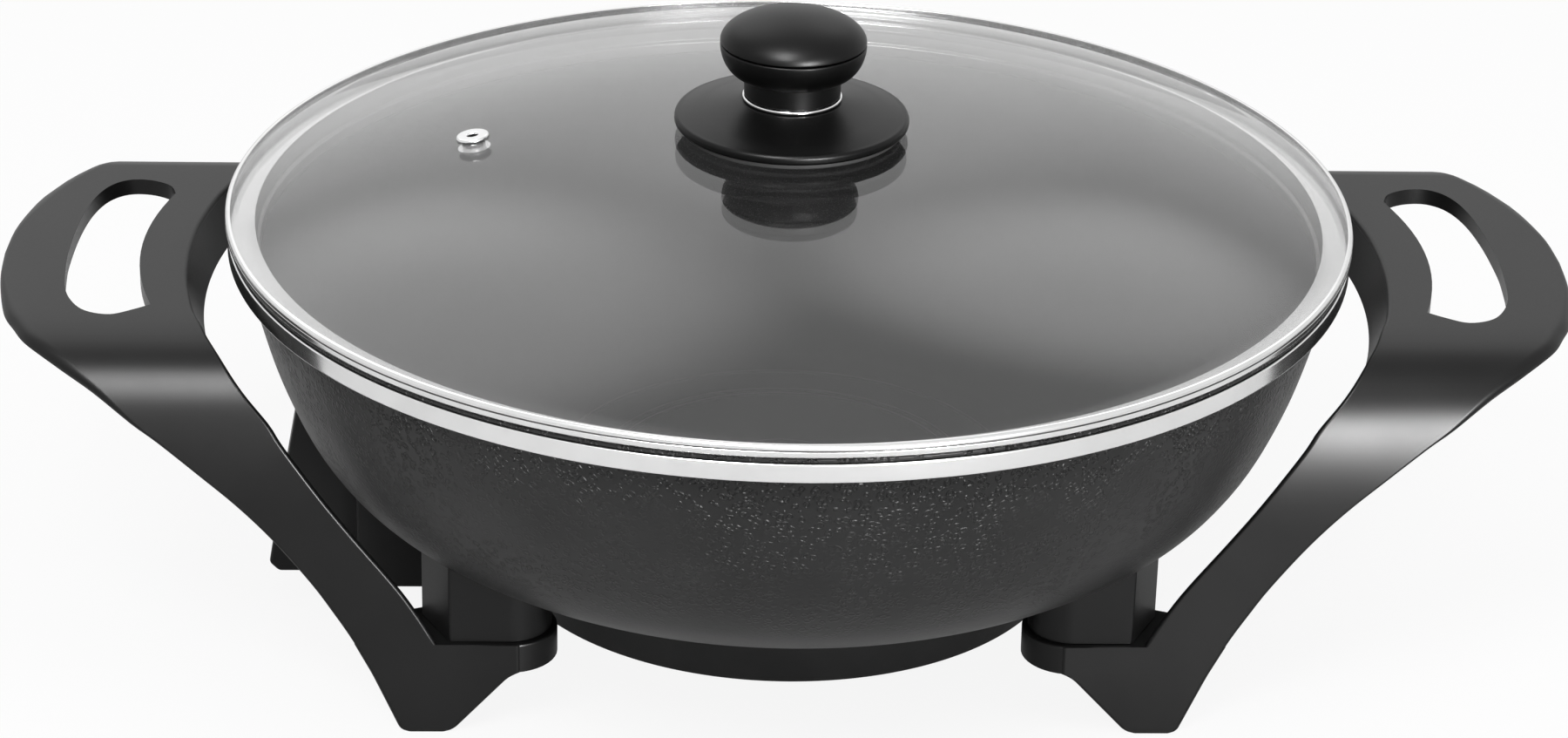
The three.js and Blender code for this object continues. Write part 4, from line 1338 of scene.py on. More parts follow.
@dataclass(frozen=True)
class Heater:
    """The ring of sheathed tube and the probe's tube."""

    ring: float = 62.0
    radius: float = 3.5
    height: float = 37.2
    spread: float = 10.0
    lead_end: float = 117.7
    probe_height: float = 36.7
    probe_radius: float = 4.0
    probe_wall: float = 0.8
    probe_from: float = -136.0
    probe_to: float = -56.0

    def element(self) -> Form:
        """The element along its path.

        Returns:
            The form.
        """
        start = math.pi - math.asin((self.spread + 2 * self.radius) / self.ring)
        reach = (self.lead_end, (self.lead_end + self.ring) / 2, self.ring + 3 * self.radius)
        lead = [(-x, self.spread) for x in reach]
        around = arc((0, 0), (self.ring, self.ring), start, -start, 14)
        path = [*lead, *around, *((x, -y) for x, y in reversed(lead))]
        return tube(smooth_line([(x, y, self.height) for x, y in path], 8), self.radius)

    def probe(self) -> Form:
        """The probe's tube, closed at its inner end.

        Returns:
            The form.
        """
        inner, length = self.probe_radius - self.probe_wall, self.probe_to - self.probe_from
        end = length - self.probe_wall
        line = [
            (0.0, length), (self.probe_radius, length, 1.2), (self.probe_radius, 0.0, 0.25), (inner, 0.0, 0.25),
            (inner, end, 0.6), (0.0, end),
        ]
        seat = Matrix.Translation((self.probe_from, 0, self.probe_height))
        return turned(line, SMALL_STEPS, closed=False).move(seat @ quarter("Y"))

    def dress(self, finishes: Finishes) -> None:
        """Shows both tubes."""
        self.element().piece("heater_ring", Body.WOK, finishes.sheath, "heating_element")
        self.probe().piece("probe_sleeve", Body.WOK, finishes.sheath, "probe_tube")


@dataclass(frozen=True)
class Inlet:
    """The housing under the left handle with its block, pins and earth contact."""

    low: float = 16.0
    wall: float = 3.0
    half: float = 31.0
    inner: float = 101.0
    outer: float = 139.0
    reach: float = 168.4
    sleeve_half: float = 20.0
    top: float = 76.0
    lean: float = 10.2
    corner: float = 3.0
    ceiling: float = 54.0
    soft: float = 1.2
    block_low: float = 25.0
    block_high: float = 44.0
    block_outer: float = 136.0
    block_inner: float = 126.0
    spread: float = 10.0
    pin_height: float = 37.2
    probe_height: float = 36.7
    probe_bore: float = 4.3
    pin_radius: float = 2.5
    pin_from: float = 118.0
    pin_to: float = 158.0
    notch_half: float = 15.5
    notch_low: float = 31.7
    cover_room: float = 98.3
    screw_x: float = 112.0
    screw_y: float = 22.5
    post_radius: float = 4.6
    boss_radius: float = 5.9
    strip: float = 0.8
    strip_half: float = 4.0

    def shell(self) -> Form:
        """The box and the sleeve, with softened edges.

        Returns:
            The form.
        """
        front, low = -self.outer, self.low
        form = Form().block((front, -self.half, low), (-self.inner, self.half, self.top))
        form.soften(self.soft, lambda e: all(v.co.x < front + 1 or v.co.z < low + 0.1 for v in e.verts))
        side = [
            (front + self.wall, low), (-self.reach + self.corner, low), (-self.reach, low + self.corner),
            (-self.reach + self.lean, self.top), (front + self.wall, self.top),
        ]
        sleeve = Form().prism(side, -self.sleeve_half, self.sleeve_half).move(quarter("X"))

        def is_shown(edge: BMEdge) -> bool:
            """Whether an edge of the sleeve is outside the box or runs along it."""
            a, b = (v.co.x for v in edge.verts)
            return max(a, b) < front - 1 or abs(a - b) > 5

        return form.add(sleeve.soften(self.soft, is_shown))

    def build(self) -> Form:
        """The housing, hollowed out and cut to the bowl and the cover.

        Returns:
            The form.
        """
        inside, side, floor = self.sleeve_half - self.wall, self.half - self.wall, self.low + self.wall
        back, notch, roof, below = -self.inner - self.wall, self.notch_half, self.top + CUT_OVER, self.low - CUT_OVER
        form = self.shell().cut(
            Form().block(
                (-self.reach - CUT_OVER, -inside, floor + CUT_OVER), (CUT_OVER - self.block_inner, inside, self.ceiling)
            ),
            Form().block((-self.block_inner, -side, floor), (back, side, roof)),
            Form().block((back - self.wall, -notch, self.notch_low), (CUT_OVER - self.inner, notch, roof)),
        )
        lug_low = under_bowl(self.screw_x, self.screw_y) - LUG_DROP
        for y in (-self.screw_y, self.screw_y):
            for how, radius, low, high in (
                (Join.ADD, self.post_radius, self.low + 1.0, lug_low - FIT_GAP),
                (Join.ADD, self.boss_radius, self.low + 0.5, self.low + HEAD_DEEP + self.wall),
                (Join.CUT, SCREW_HOLE, below, roof),
                (Join.CUT, HEAD_HOLE, below, self.low + HEAD_DEEP),
            ):
                form.combine(how, Form().rod(-self.screw_x, y, radius, low, high))
        return form.cut(bowl_room(), Form().rod(0, 0, self.cover_room, -1.0, self.top + 20.0, RING_STEPS))

    def holder(self) -> Form:
        """The insulating block with its three bores.

        Returns:
            The form.
        """
        inside = self.sleeve_half - self.wall - FIT_GAP
        form = Form().block((-self.block_outer, -inside, self.block_low), (-self.block_inner, inside, self.block_high))
        form.soften(0.6)
        depth, pin = self.block_outer - self.block_inner + 2 * CUT_OVER, self.pin_radius + FIT_GAP
        bores = ((-self.spread, self.pin_height, pin), (self.spread, self.pin_height, pin))
        for y, z, radius in (*bores, (0.0, self.probe_height, self.probe_bore)):
            place = Matrix.Translation((-self.block_outer - CUT_OVER, y, z))
            form.cut(Form().rod(0, 0, radius, 0, depth).move(place @ quarter("Y")))
        return form

    def pin(self, side: int) -> Form:
        """A round-nosed pin with a collar at the block.

        Args:
            side: -1 for the front pin, 1 for the rear one.

        Returns:
            The form.
        """
        length, wide, slim = self.pin_to - self.pin_from, self.pin_radius, self.pin_radius - 0.15
        line = [
            (0.0, 0.0), (wide, 0.0, 0.3), (wide, length - 4.5, 0.2), (slim, length - 4.2, 0.1), (slim, length, 1.9),
            (0.0, length),
        ]
        place = Matrix.Translation((-self.pin_from, side * self.spread, self.pin_height))
        return turned(line, SMALL_STEPS, closed=False).move(place @ quarter("Y", -1))

    def contact(self) -> Form:
        """The earth contact, a strip bowed up towards the plug.

        Returns:
            The form.
        """
        low = self.low + self.wall + CUT_OVER + FIT_GAP
        rise = (self.block_low - low - self.strip) / 2
        bends = [(-128.0, low), (-136.0, low), (-148.0, low + rise), (-160.0, low)]
        line = [bends[0], *smooth_line(bends[1:], 8)]
        above = [(x, z + self.strip) for x, z in reversed(line)]
        return Form().prism([*line, *above], -self.strip_half, self.strip_half).move(quarter("X"))

    def dress(self, finishes: Finishes) -> None:
        """Shows the whole inlet.

        Args:
            finishes: every finish of the wok.
        """
        self.build().piece("inlet_housing", Body.WOK, finishes.plastic, "socket_housing")
        self.holder().piece("inlet_block", Body.WOK, finishes.insulator, "socket_block")
        head, tip = self.low + HEAD_DEEP - FIT_GAP, under_bowl(self.screw_x, self.screw_y) - SCREW_SHORT
        for side, where in ((-1, "front"), (1, "rear")):
            self.pin(side).piece(f"inlet_pin_{where}", Body.WOK, finishes.plated, f"terminal_pin_{where}")
            screw = Screw(-self.screw_x, side * self.screw_y, head, tip)
            screw.dress(f"inlet_fixing_{where}", Body.WOK, finishes, f"housing_screw_{where}")
        self.contact().piece("earth_strip", Body.WOK, finishes.plated, "earth_contact")


# ---------------------------------------------------------------- handle frames


@dataclass(frozen=True)
class LegLine:
    """The outer face of one end of a frame, from the middle of the grip to the table, and its two edges.

    The turns are pairs of a distance from the flat grip and the slope there in degrees. The edges are
    the distance from the middle of the grip, X of the pan-side edge there, and the width.
    """

    turns: tuple[Pair, ...]
    edges: tuple[Place, ...]
    grip_top: float = 121.5
    foot_forward: float = 96.28
    splay: float = math.radians(4)

    @cached_property
    def bend(self) -> list[Vector]:
        """The bend as points of [distance, forwards, downwards, slope], from where the grip is flat.

        Returns:
            The points.
        """
        turns = smooth_line([(t, math.radians(a)) for t, a in self.turns], 10)
        points = [Vector((0.0, 0.0, 0.0, 0.0))]
        for before, after in zip(turns, turns[1:]):
            step, slope, last = after.x - before.x, (before.y + after.y) / 2, points[-1]
            forwards, down = last[1] + step * math.cos(slope), last[2] + step * math.sin(slope)
            points.append(Vector((after.x, forwards, down, after.y)))
        return points

    @cached_property
    def flat_half(self) -> float:
        """Half length of the flat grip, so that the bend ends on the leg's line."""
        end = self.bend[-1]
        return self.foot_forward - (self.grip_top - end[2]) * math.tan(self.splay) - end[1]

    def distance_at(self, height: float) -> float:
        """Distance from the middle of the grip at which the leg passes a height."""
        end = self.bend[-1]
        return self.flat_half + end[0] + (self.grip_top - end[2] - height) / math.cos(self.splay)

    def place(self, distance: float) -> Place:
        """The outer face at a distance: how far forwards, how high, and its slope.

        Args:
            distance: from the middle of the grip, along the face.

        Returns:
            The three numbers.
        """
        rest, end = distance - self.flat_half, self.bend[-1]
        if rest <= 0:
            return distance, self.grip_top, 0.0
        if rest < end[0]:
            after = bisect_left([p[0] for p in self.bend], rest)
            low, high = self.bend[after - 1], self.bend[after]
            at = low.lerp(high, (rest - low[0]) / (high[0] - low[0]))
        else:
            more = rest - end[0]
            at = end + Vector((more, more * math.sin(self.splay), more * math.cos(self.splay), 0.0))
        return self.flat_half + at[1], self.grip_top - at[2], at[3]

    @cached_property
    def fine(self) -> tuple[list[Vector], list[Vector]]:
        """The pan-side edge and the width as smooth lines over the distance."""
        return tuple(smooth_line([(row[0], row[i]) for row in self.edges], 8) for i in (1, 2))

    def sides(self, distance: float) -> Pair:
        """X of the pan-side edge and of the outer edge at a distance.

        Args:
            distance: from the middle of the grip, along the face.

        Returns:
            The two numbers.
        """
        s = min(distance, self.distance_at(0.0))
        inner, width = (
            read_line(line, min(max(1, bisect_left([p.x for p in line], s - 1e-9)), len(line) - 1), s)
            for line in self.fine
        )
        return inner, inner + width

    def cuts(self, foot: float) -> list[float]:
        """Distances of the sections down to a height, closest in the bend.

        Args:
            foot: the lowest height.

        Returns:
            The distances in order.
        """
        bend, end = self.bend[-1][0], self.distance_at(foot)
        leg, rounds = self.flat_half + bend, max(16, round(bend / 2))
        count = round((end - leg) / 3)
        spots = [self.flat_half * i / 12 for i in range(12)]
        spots += [self.flat_half + bend * i / rounds for i in range(rounds)]
        return spots + [leg + (end - leg) * i / count for i in range(count + 1)]


FRONT_LEG = LegLine(
    turns=(
        (0, 0), (10, 1.5), (20, 7), (28, 19), (36, 39), (44, 58), (52, 70), (60, 77), (68, 81.5), (76, 84.6), (84, 86),
    ),
    edges=(
        (0, 192.3, 59.2), (19.96, 191.3, 59.1), (42.39, 187.6, 59.0), (54.1, 184.0, 58.0), (63.92, 180.7, 56.2),
        (75.59, 175.1, 51.1), (84.93, 169.3, 45.9), (94.74, 161.5, 42.2), (100.82, 157.8, 37.7), (110.64, 151.0, 32.8),
        (121.38, 143.4, 28.3), (132.99, 134.6, 26.1), (146.96, 123.6, 26.0), (155.95, 117.4, 26.1),
        (167.42, 110.8, 25.6), (181.88, 104.2, 25.0), (197.35, 97.2, 25.1),
    ),
)
REAR_LEG = LegLine(
    turns=((0, 0), (9.01, 28.67), (18.01, 57.33), (27.02, 86)),
    edges=(
        (0, 192.3, 59.2), (19.96, 191.3, 59.1), (42.39, 187.6, 59.0), (54.88, 184.0, 58.0), (65.36, 180.5, 56.2),
        (77.82, 175.4, 52.1), (87.79, 169.5, 46.3), (98.27, 161.6, 42.6), (104.76, 158.2, 38.4), (115.24, 151.4, 33.2),
        (126.71, 143.6, 28.4), (138.67, 134.6, 26.1), (152.64, 123.6, 26.0), (161.63, 117.4, 26.1),
        (173.1, 110.8, 25.6), (187.56, 104.2, 25.0), (203.03, 97.2, 25.1),
    ),
)


@dataclass(frozen=True)
class HandleFrame:
    """A plastic frame: grip plate with a hand hole, two bends, two legs, shelves and feet."""

    front: LegLine = FRONT_LEG
    rear: LegLine = REAR_LEG
    inner_radius: float = 192.3
    grip_top: float = 121.5
    splay: float = math.radians(4)
    sheet: float = 4.2
    edge_round: float = 1.4
    lip: Pair = (5.2, 3.0)
    lip_fade: tuple[float, float, float, float] = (12.0, 52.0, 70.0, 104.0)
    outer_draft: float = 3.0
    inner_draft: float = 1.6
    hole_centre: Pair = (216.0, 4.5)
    hole_half: Pair = (15.0, 54.0)
    hole_shares: tuple[Pair, ...] = (
        (-0.98, 0.8), (-0.82, 0.92), (-0.37, 1), (0.13, 1), (0.53, 0.89), (0.8, 0.66), (0.95, 0.32), (1, -0.08),
        (0.97, -0.31), (0.87, -0.6), (0.67, -0.79), (0.33, -0.93), (-0.2, -0.98), (-0.67, -0.91), (-1, -0.84),
    )
    hole_bow: float = -0.06
    hole_round: float = 1.3
    collar_wall: float = 2.2
    collar_drop: float = 1.2
    skirt_half: float = 75.2
    skirt_height: float = 16.0
    skirt_lean: float = 4.6
    skirt_wall: float = 3.2
    skirt_round: float = 0.8
    rib_deep: float = 11.0
    rib_steps: int = 29
    shelf_top: float = 29.8
    shelf_height: float = 9.5
    shelf_reach: float = 37.5
    shelf_depth: float = 30.5
    shelf_run: float = 24.1
    shelf_corner: float = 8.5
    foot_width: float = 16.2
    foot_depth: float = 21.0
    foot_wall: float = 5.0
    foot_fillet: float = 3.0
    web_tuck: float = 2.0
    corner_round: float = 1.8
    post_inset: float = 1.8
    post_top: float = 70.0
    post_socket: Pair = (6.3, 9.3)

    def path(self, distance: float) -> tuple[float, float, float, float]:
        """The outer face at a distance from the middle of the grip, towards the front.

        Args:
            distance: along the path, to the rear where it is negative.

        Returns:
            Y and Z of the place, and Y and Z of the direction outwards.
        """
        side = math.copysign(1.0, distance)
        forward, height, slope = (self.front if distance > 0 else self.rear).place(abs(distance))
        return -side * forward, height, -side * math.sin(slope), math.cos(slope)

    @cached_property
    def knee(self) -> float:
        """X where the leg's pan-side edge meets the shelf."""
        return self.front.sides(self.front.distance_at(self.shelf_top))[0]

    @cached_property
    def shelf_face(self) -> float:
        """How far in front of the axis the shelf's front face lies."""
        return self.front.place(self.front.distance_at(self.shelf_top))[0]

    @property
    def post_place(self) -> Pair:
        """Where the screw of the front right post stands."""
        return self.knee - self.shelf_reach / 2, -self.shelf_face + self.shelf_depth / 2

    def section(self, distance: float, inner: float, outer: float) -> list[Vector]:
        """A section across the sheet, rounded on its shown side, most at the grip's outer corner.

        Args:
            distance: where it is along the path.
            inner: X of its pan-side edge.
            outer: X of its outer edge.

        Returns:
            The points of a closed line.
        """
        y, z, ny, nz = self.path(distance)
        soft, (rise, full, fall, none), s = self.edge_round, self.lip_fade, abs(distance)
        share = min(max((s - rise) / (full - rise), 0.0), 1.0) * min(max((none - s) / (none - fall), 0.0), 1.0)
        share = share * share * (3 - 2 * share)
        run, deep = (soft + share * (wide - soft) for wide in self.lip)
        flat = [
            (inner + self.inner_draft, self.sheet),
            (outer - self.outer_draft, self.sheet),
            *arc((outer - run, deep), (run, -deep), 0.0, math.pi / 2, ROUND_STEPS + 2),
            *arc((inner + soft, soft), (soft, soft), -math.pi / 2, -math.pi, ROUND_STEPS),
        ]
        return [Vector((x, y - ny * d, z - nz * d)) for x, d in flat]

    def stations(self, leg: LegLine) -> list[Place]:
        """Distance, pan-side edge and outer edge of each section from the grip to below the table.

        Args:
            leg: the end of the frame that it runs down.

        Returns:
            The three numbers of each section.
        """
        stations = [(s, *leg.sides(s)) for s in leg.cuts(self.shelf_top)]
        shelf, end = leg.distance_at(self.shelf_top), leg.distance_at(0.0)
        low, slant_top = leg.distance_at(self.shelf_top - self.shelf_height), self.knee - self.shelf_run
        foot_outer = leg.sides(end)[1]
        foot_inner = foot_outer - self.foot_width
        run = (foot_inner - slant_top) / (end - low)
        stations.append((shelf + FIT_GAP, slant_top - self.web_tuck, leg.sides(shelf)[1]))
        for share in (0.0, 0.08, 0.2, 0.4, 0.65, 1.0):
            down = self.foot_fillet * share
            inner = slant_top + run * down - self.web_tuck * (1 - share) ** 2
            stations.append((low + down, inner, leg.sides(low + down)[1]))
        soft = self.corner_round
        for up in (1.0, 0.75, 0.5, 0.25, 0.0):
            s, nip = end - soft * up, soft * (1 - math.sqrt(max(0.0, 1 - (1 - up) ** 2)))
            stations.append((s, foot_inner - run * soft * up + nip, leg.sides(s)[1] - nip))
        return [*stations, (end + CUT_OVER, *stations[-1][1:])]

    def plate(self) -> Form:
        """The bent sheet from foot to foot with its hand hole.

        Returns:
            The form.
        """
        front = self.stations(self.front)
        rear = [(-s, a, b) for s, a, b in reversed(self.stations(self.rear)[1:])]
        form = Form().loft([self.section(*station) for station in (*rear, *front)])
        top, under = self.grip_top, self.grip_top - self.sheet
        low = under - self.collar_drop
        form.add(self.hand_hole(self.collar_wall, low, under + self.sheet / 2).soften(0.8))
        form.cut(self.hand_hole(0.0, low - CUT_OVER, top + CUT_OVER))
        middle, half = (*self.hole_centre, top), (*(h + 2 for h in self.hole_half), 0.01)

        def on_hole(edge: BMEdge) -> bool:
            """Whether an edge lies on the hole's upper rim."""
            return all(abs(a - b) < c for v in edge.verts for a, b, c in zip(v.co, middle, half))

        return form.soften(self.hole_round, on_hole)

    def hand_hole(self, wider: float, low: float, high: float) -> Form:
        """The D-shaped hole as a solid.

        Args:
            wider: how far the solid stands out round the hole.
            low: its lower height.
            high: its upper height.

        Returns:
            The solid.
        """

        def place(u: float, v: float) -> Vector:
            """A point from its shares of the hole's half sizes."""
            return Vector([c + share * (h + wider) for c, share, h in zip(self.hole_centre, (u, v), self.hole_half)])

        round_side = smooth_line([place(*share) for share in self.hole_shares], 5)
        middle = place(self.hole_bow, (self.hole_shares[0][1] + self.hole_shares[-1][1]) / 2)
        first, last = round_side[-1], round_side[0]
        bow = interpolate_bezier(first, first.lerp(middle, 2 / 3), last.lerp(middle, 2 / 3), last, 16)[1:-1]
        return Form().prism([*round_side, *bow], low, high)

    def skirt(self) -> Form:
        """The leaning skirt along the grip plate's pan-side edge.

        Returns:
            The form.
        """
        reach, soft = math.asin(self.skirt_half / self.inner_radius), self.skirt_round
        low = self.grip_top - self.skirt_height
        outer, lean, wall = self.inner_radius + FIT_GAP, self.skirt_lean + FIT_GAP, self.skirt_wall
        heights = {leg: [leg.place(i / 2) for i in range(int(4 * self.skirt_half))] for leg in (self.front, self.rear)}
        sections = []
        for i in range(49):
            angle = -reach + 2 * reach * i / 48
            leg = self.front if angle < 0 else self.rear
            plate = next(z for y, z, _ in heights[leg] if y >= outer * abs(math.sin(angle)))
            top, inner = plate - self.edge_round - 0.6 * (self.grip_top - plate), outer - lean
            flat = ((outer, top), (outer + wall, top), (inner + wall, low + soft), (inner + wall - soft, low))
            flat += ((inner + soft, low), (inner, low + soft))
            sections.append([Vector((r * math.cos(angle), r * math.sin(angle), z)) for r, z in flat])
        return Form().loft(sections)

    def rib(self, leg: LegLine, side: int) -> Form:
        """The rib down the hidden side of a leg, the rear one with a side of -1.

        Args:
            leg: the end of the frame that it runs down.
            side: 1 in front, -1 at the rear.

        Returns:
            The form.
        """
        start, stop = self.skirt_half, leg.distance_at(self.shelf_top - FIT_GAP)
        sections = []
        for i in range(self.rib_steps + 1):
            share = i / self.rib_steps
            s = start + (stop - start) * share
            y, z, ny, nz = self.path(side * s)
            deep, high = self.sheet + self.rib_deep * math.sqrt(min(1.0, 4 * share)), self.sheet / 2
            flat = ((-2.0, high), (2.0, high), (1.6, deep), (-1.6, deep))
            sections.append([Vector((sum(leg.sides(s)) / 2 + dx, y - ny * d, z - nz * d)) for dx, d in flat])
        return Form().loft(sections)

    def shelf_outline(self, inset: float, outer: float, flank: float) -> list[Row]:
        """Outline of the front right shelf from above, moved in by an amount.

        Args:
            inset: how far it is moved in.
            outer: X of its outer end.
            flank: how far that end slants outwards.

        Returns:
            The points of a closed line.
        """
        front, rear = -self.shelf_face + inset, -self.shelf_face + self.shelf_depth - inset
        radius, corner = (rear - front) / 2, rear - self.shelf_corner
        middle = (self.knee - self.shelf_reach + inset + radius, (front + rear) / 2)
        end = arc(middle, (radius, radius), math.pi / 2, 3 * math.pi / 2, 20)
        return [*end, (outer, front), (outer + flank, corner), (self.knee - self.shelf_corner, rear)]

    def shelf(self) -> Form:
        """Shelf and foot web of the front right leg.

        Returns:
            The form.
        """
        low, top, (x, y), knee = self.shelf_top - self.shelf_height, self.shelf_top, self.post_place, self.knee
        form = Form().prism(self.shelf_outline(FIT_GAP / 3, knee + self.sheet, self.shelf_corner), low, top)
        form.soften(0.9, lambda e: all(abs(v.co.z - top) < 0.01 and v.co.x < knee + 1 for v in e.verts))
        lean = Matrix.Identity(4)
        lean[1][2], lean[1][3] = math.tan(self.splay), -math.tan(self.splay) * top
        form.move(lean)
        web_x = self.front.sides(self.front.distance_at(0.0))[1] - self.foot_width / 2
        half, face, back = self.foot_wall / 2, self.edge_round - self.shelf_face, self.foot_depth - self.shelf_face
        web = Form().block((web_x - half, face, -1.0), (web_x + half, back, top - self.edge_round))
        form.add(web.soften(0.6, lambda e: all(v.co.y > back - 0.1 for v in e.verts)))
        hole, recess = (SCREW_HOLE, low - CUT_OVER, top + CUT_OVER), (HEAD_HOLE, low - CUT_OVER, low + HEAD_DEEP)
        return form.cut(Form().rod(x, y, *hole), Form().rod(x, y, *recess))

    def build(self) -> Form:
        """The right frame.

        Returns:
            The form.
        """
        form, shelf = self.plate(), self.shelf()
        form.add(self.skirt(), self.rib(self.front, 1), self.rib(self.rear, -1))
        return form.add(shelf.copy().move(flipped(1, -1)), shelf).cut_below(0.0)

    def post(self) -> Form:
        """The front right post between shelf and bowl.

        Returns:
            The form.
        """
        low, high, (x, y), (radius, deep) = self.shelf_top + FIT_GAP, self.post_top, self.post_place, self.post_socket
        form = Form().prism(self.shelf_outline(self.post_inset, self.knee - 4.0, deep + 0.2), low, high)
        form.soften(0.7, lambda e: abs(e.verts[0].co.z - e.verts[1].co.z) > 5)
        socket = Form().rod(x, y, radius, under_bowl(x, y) - deep, high + CUT_OVER)
        return form.cut(bowl_room(), socket, Form().rod(x, y, SCREW_HOLE, low - CUT_OVER, high))

    def dress(self, finishes: Finishes) -> None:
        """Shows both frames, the four posts and their screws.

        Args:
            finishes: every finish of the wok.
        """
        frame_form, post_form, (x, y) = self.build(), self.post(), self.post_place
        head, tip = self.shelf_top - self.shelf_height + HEAD_DEEP - FIT_GAP, under_bowl(x, y) - SCREW_SHORT
        for side, where in ((1, "right"), (-1, "left")):
            mirrored = frame_form.copy().move(flipped(side, 1))
            mirrored.piece(f"handle_{where}", Body.WOK, finishes.plastic, f"{where}_frame")
            for end, depth in ((1, "front"), (-1, "rear")):
                corner, post = f"{where}_{depth}", post_form.copy().move(flipped(side, end))
                post.piece(f"pillar_{corner}", Body.WOK, finishes.plastic, f"post_{corner}")
                screw = Screw(side * x, end * y, head, tip)
                screw.dress(f"leg_fixing_{corner}", Body.WOK, finishes, f"leg_screw_{corner}")
        frame_form.bm.free()
        post_form.bm.free()


# ---------------------------------------------------------------- studio


def stand(made: bpy.types.Object, place: Place, along: Vector, roll: float = 0.0) -> None:
    """Puts a lamp or the camera in its place and looks along a direction.

    Args:
        made: the lamp or the camera.
        place: where it stands.
        along: where it looks.
        roll: its turn round that direction, in radians.
    """
    made.location = place
    made.rotation_mode = "QUATERNION"
    made.rotation_quaternion = along.to_track_quat("-Z", "Y") @ Quaternion((0, 0, 1), roll)
    bpy.context.scene.collection.objects.link(made)


@dataclass(frozen=True)
class Softbox:
    """A square lamp that shines at a place; one that only gloss shows fades towards its edges."""

    name: str
    place: Place
    at: Place
    size: Pair
    power: float
    only_gloss: bool = False

    def light(self, spared: bpy.types.Collection) -> None:
        """Puts the lamp into the scene.

        Args:
            spared: the pieces that a lamp for gloss alone leaves out.
        """
        lamp = bpy.data.lights.new(self.name, "AREA")
        lamp.shape, lamp.size, lamp.size_y, lamp.energy = "RECTANGLE", *self.size, self.power
        made = bpy.data.objects.new(self.name, lamp)
        made.visible_diffuse, made.visible_glossy = not self.only_gloss, self.only_gloss
        if self.only_gloss:
            s = Shader(lamp)
            across = s.add("NewGeometry", out="Parametric")
            u, v = (s.add("SeparateXYZ", {0: across}, i) for i in (0, 1))
            fade = (u * (1 - u) * v * (1 - v) * 16.0).most(0.0)
            s.end(s.add("Emission", {"Color": grey(1.0), "Strength": fade}))
            made.light_linking.receiver_collection = spared
        stand(made, self.place, Vector(self.at) - Vector(self.place))


class Window(NamedTuple):
    """A brighter patch far away that gloss shows: its direction, two angles from it in degrees, and its gain."""

    towards: Place
    full: float
    none: float
    gain: float


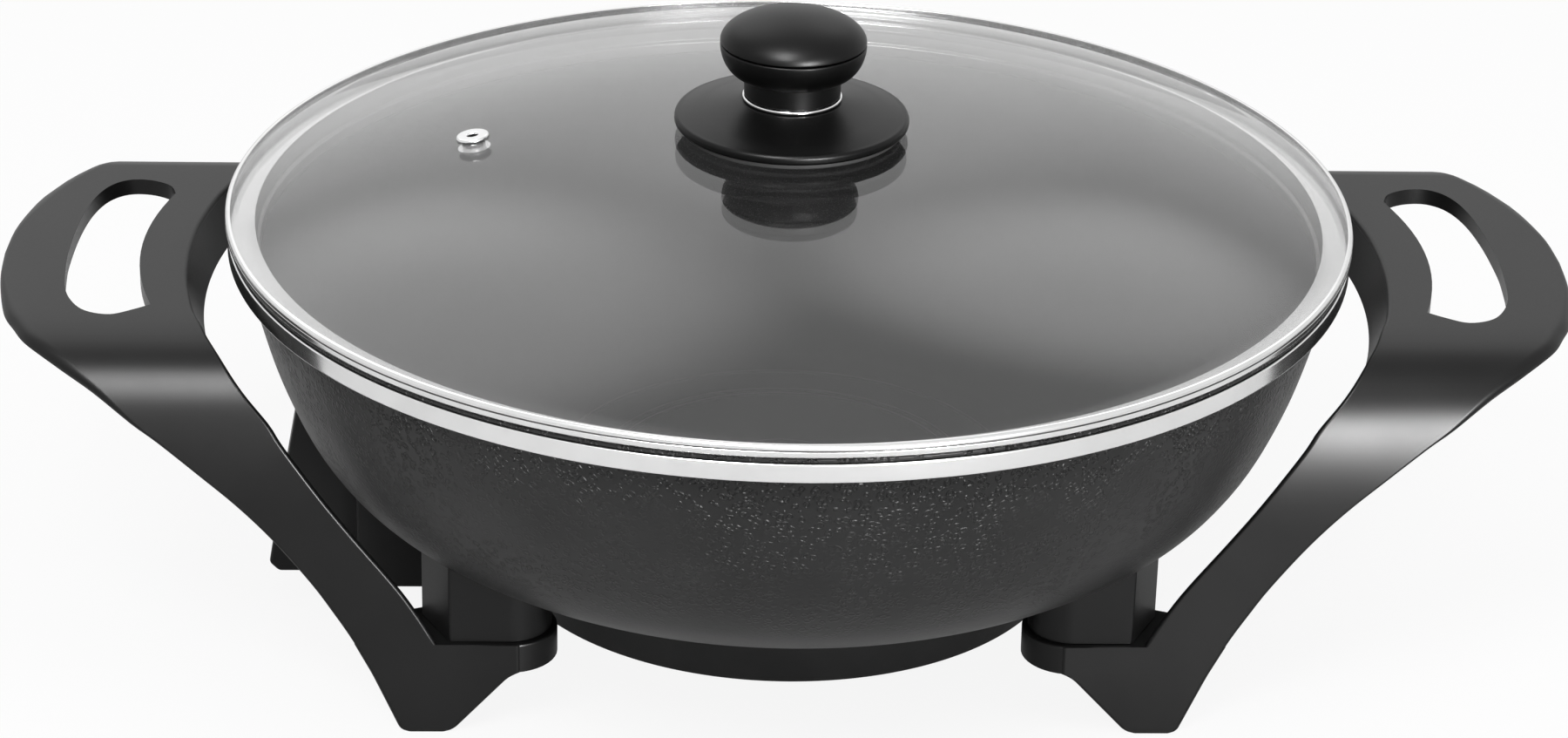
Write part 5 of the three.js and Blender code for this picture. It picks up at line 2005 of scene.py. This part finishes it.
@dataclass(frozen=True)
class Studio:
    """Camera, floor, white surroundings and soft lamps."""

    camera_place: Place = (-0.05791, -1.275276, 0.685492)
    looks_along: Place = (0.040692, 0.902877, -0.42797)
    roll: float = 0.02527
    lens: float = 99.153
    sensor: float = 36.0
    clip: Pair = (0.05, 50.0)
    floor_half: float = 6.0
    floor_level: float = 0.8
    ambient: float = 0.55
    white_share: float = 0.9
    mirrored_share: float = 0.3
    windows: tuple[Window, ...] = (
        Window((-0.29, 0.684, 0.669), 8.0, 21.0, 1.12),
        Window((0.27, 0.74, 0.616), 3.0, 15.0, 1.05),
        Window((-0.098, 0.935, 0.342), 10.0, 20.0, 0.2),
    )
    softboxes: tuple[Softbox, ...] = (
        Softbox("key", (-0.6, -1.1, 1.6), (0.0, 0.0, 0.08), (0.9, 0.7), 21.0),
        Softbox("fill", (0.9, -0.6, 1.5), (0.0, 0.0, 0.08), (0.9, 0.7), 9.0),
        Softbox("left card", (-0.33, -0.88, 1.4), (-0.22, -0.1, 0.1), (0.5, 1.4), 122.0, only_gloss=True),
        Softbox("right card", (0.55, -1.4, 0.38), (0.24, -0.1, 0.1), (0.45, 0.7), 185.0, only_gloss=True),
    )

    def camera(self) -> None:
        """Sets the camera at the photograph's viewing angle."""
        data = bpy.data.cameras.new("camera")
        data.lens, data.sensor_width, data.sensor_fit = self.lens, self.sensor, "HORIZONTAL"
        data.clip_start, data.clip_end = self.clip
        made = bpy.data.objects.new("camera", data)
        stand(made, self.camera_place, Vector(self.looks_along), self.roll)
        bpy.context.scene.camera = made

    def floor(self) -> None:
        """A plain pale floor that keeps a soft shadow."""
        form, mesh = Form(), bpy.data.meshes.new("floor")
        bmesh.ops.create_grid(form.bm, x_segments=1, y_segments=1, size=self.floor_half)
        form.bm.to_mesh(mesh)
        form.bm.free()
        made = bpy.data.objects.new("floor", mesh)
        s = Shader("pale floor")
        plain = s.add("BsdfDiffuse", {"Color": grey(self.floor_level)})
        white = s.add("Emission", {"Color": grey(1.0), "Strength": 1.0})
        share = (s.ray("Camera") * self.white_share).most(s.ray("Glossy") * self.mirrored_share)
        mesh.materials.append(s.end(s.add("MixShader", {0: share, 1: plain, 2: white})))
        bpy.context.scene.collection.objects.link(made)

    def surroundings(self) -> None:
        """White to look at, softer as light, with brighter windows far behind that the glass mirrors."""
        world = bpy.context.scene.world = bpy.data.worlds.new("studio")
        s = Shader(world)
        towards, glow = s.add("TexCoord", out="Generated"), 0.0
        for window in self.windows:
            edges = [math.cos(math.radians(angle)) for angle in (window.none, window.full)]
            dot = s.vector("DOT_PRODUCT", {0: towards, 1: window.towards}, "Value")
            glow = dot.ramp(*edges) * window.gain + glow
        soft = s.add("Background", {"Color": grey(1.0), "Strength": self.ambient})
        white = s.add("Background", {"Color": grey(1.0), "Strength": glow * s.ray("Glossy") + 1.0})
        seen = s.ray("Camera").most(s.ray("Glossy")).most(s.ray("Transmission"))
        s.end(s.add("MixShader", {0: seen, 1: soft, 2: white}))

    def build(self, clear: Sequence[bpy.types.Object]) -> None:
        """Everything round the object.

        Args:
            clear: clear pieces, which don't mirror the lamps for gloss.
        """
        self.camera()
        self.floor()
        self.surroundings()
        spared = bpy.data.collections.new("clear pieces")
        for made in clear:
            spared.objects.link(made)
        for member in spared.collection_objects:
            member.light_linking.link_state = "EXCLUDE"
        for softbox in self.softboxes:
            softbox.light(spared)
        bpy.context.scene.view_settings.view_transform = "Standard"


def main() -> None:
    """Builds every piece in order, then the studio."""
    logging.basicConfig(level=logging.INFO, format="%(message)s")
    finishes = Finishes()
    for part in (Bowl(), RimBand(), Lid(), Knob(), BaseCover(), Heater(), Inlet(), HandleFrame()):
        part.dress(finishes)
    Studio().build([bpy.data.objects["lid_dome"]])
    bpy.context.view_layer.update()


if __name__ == "__main__":
    main()
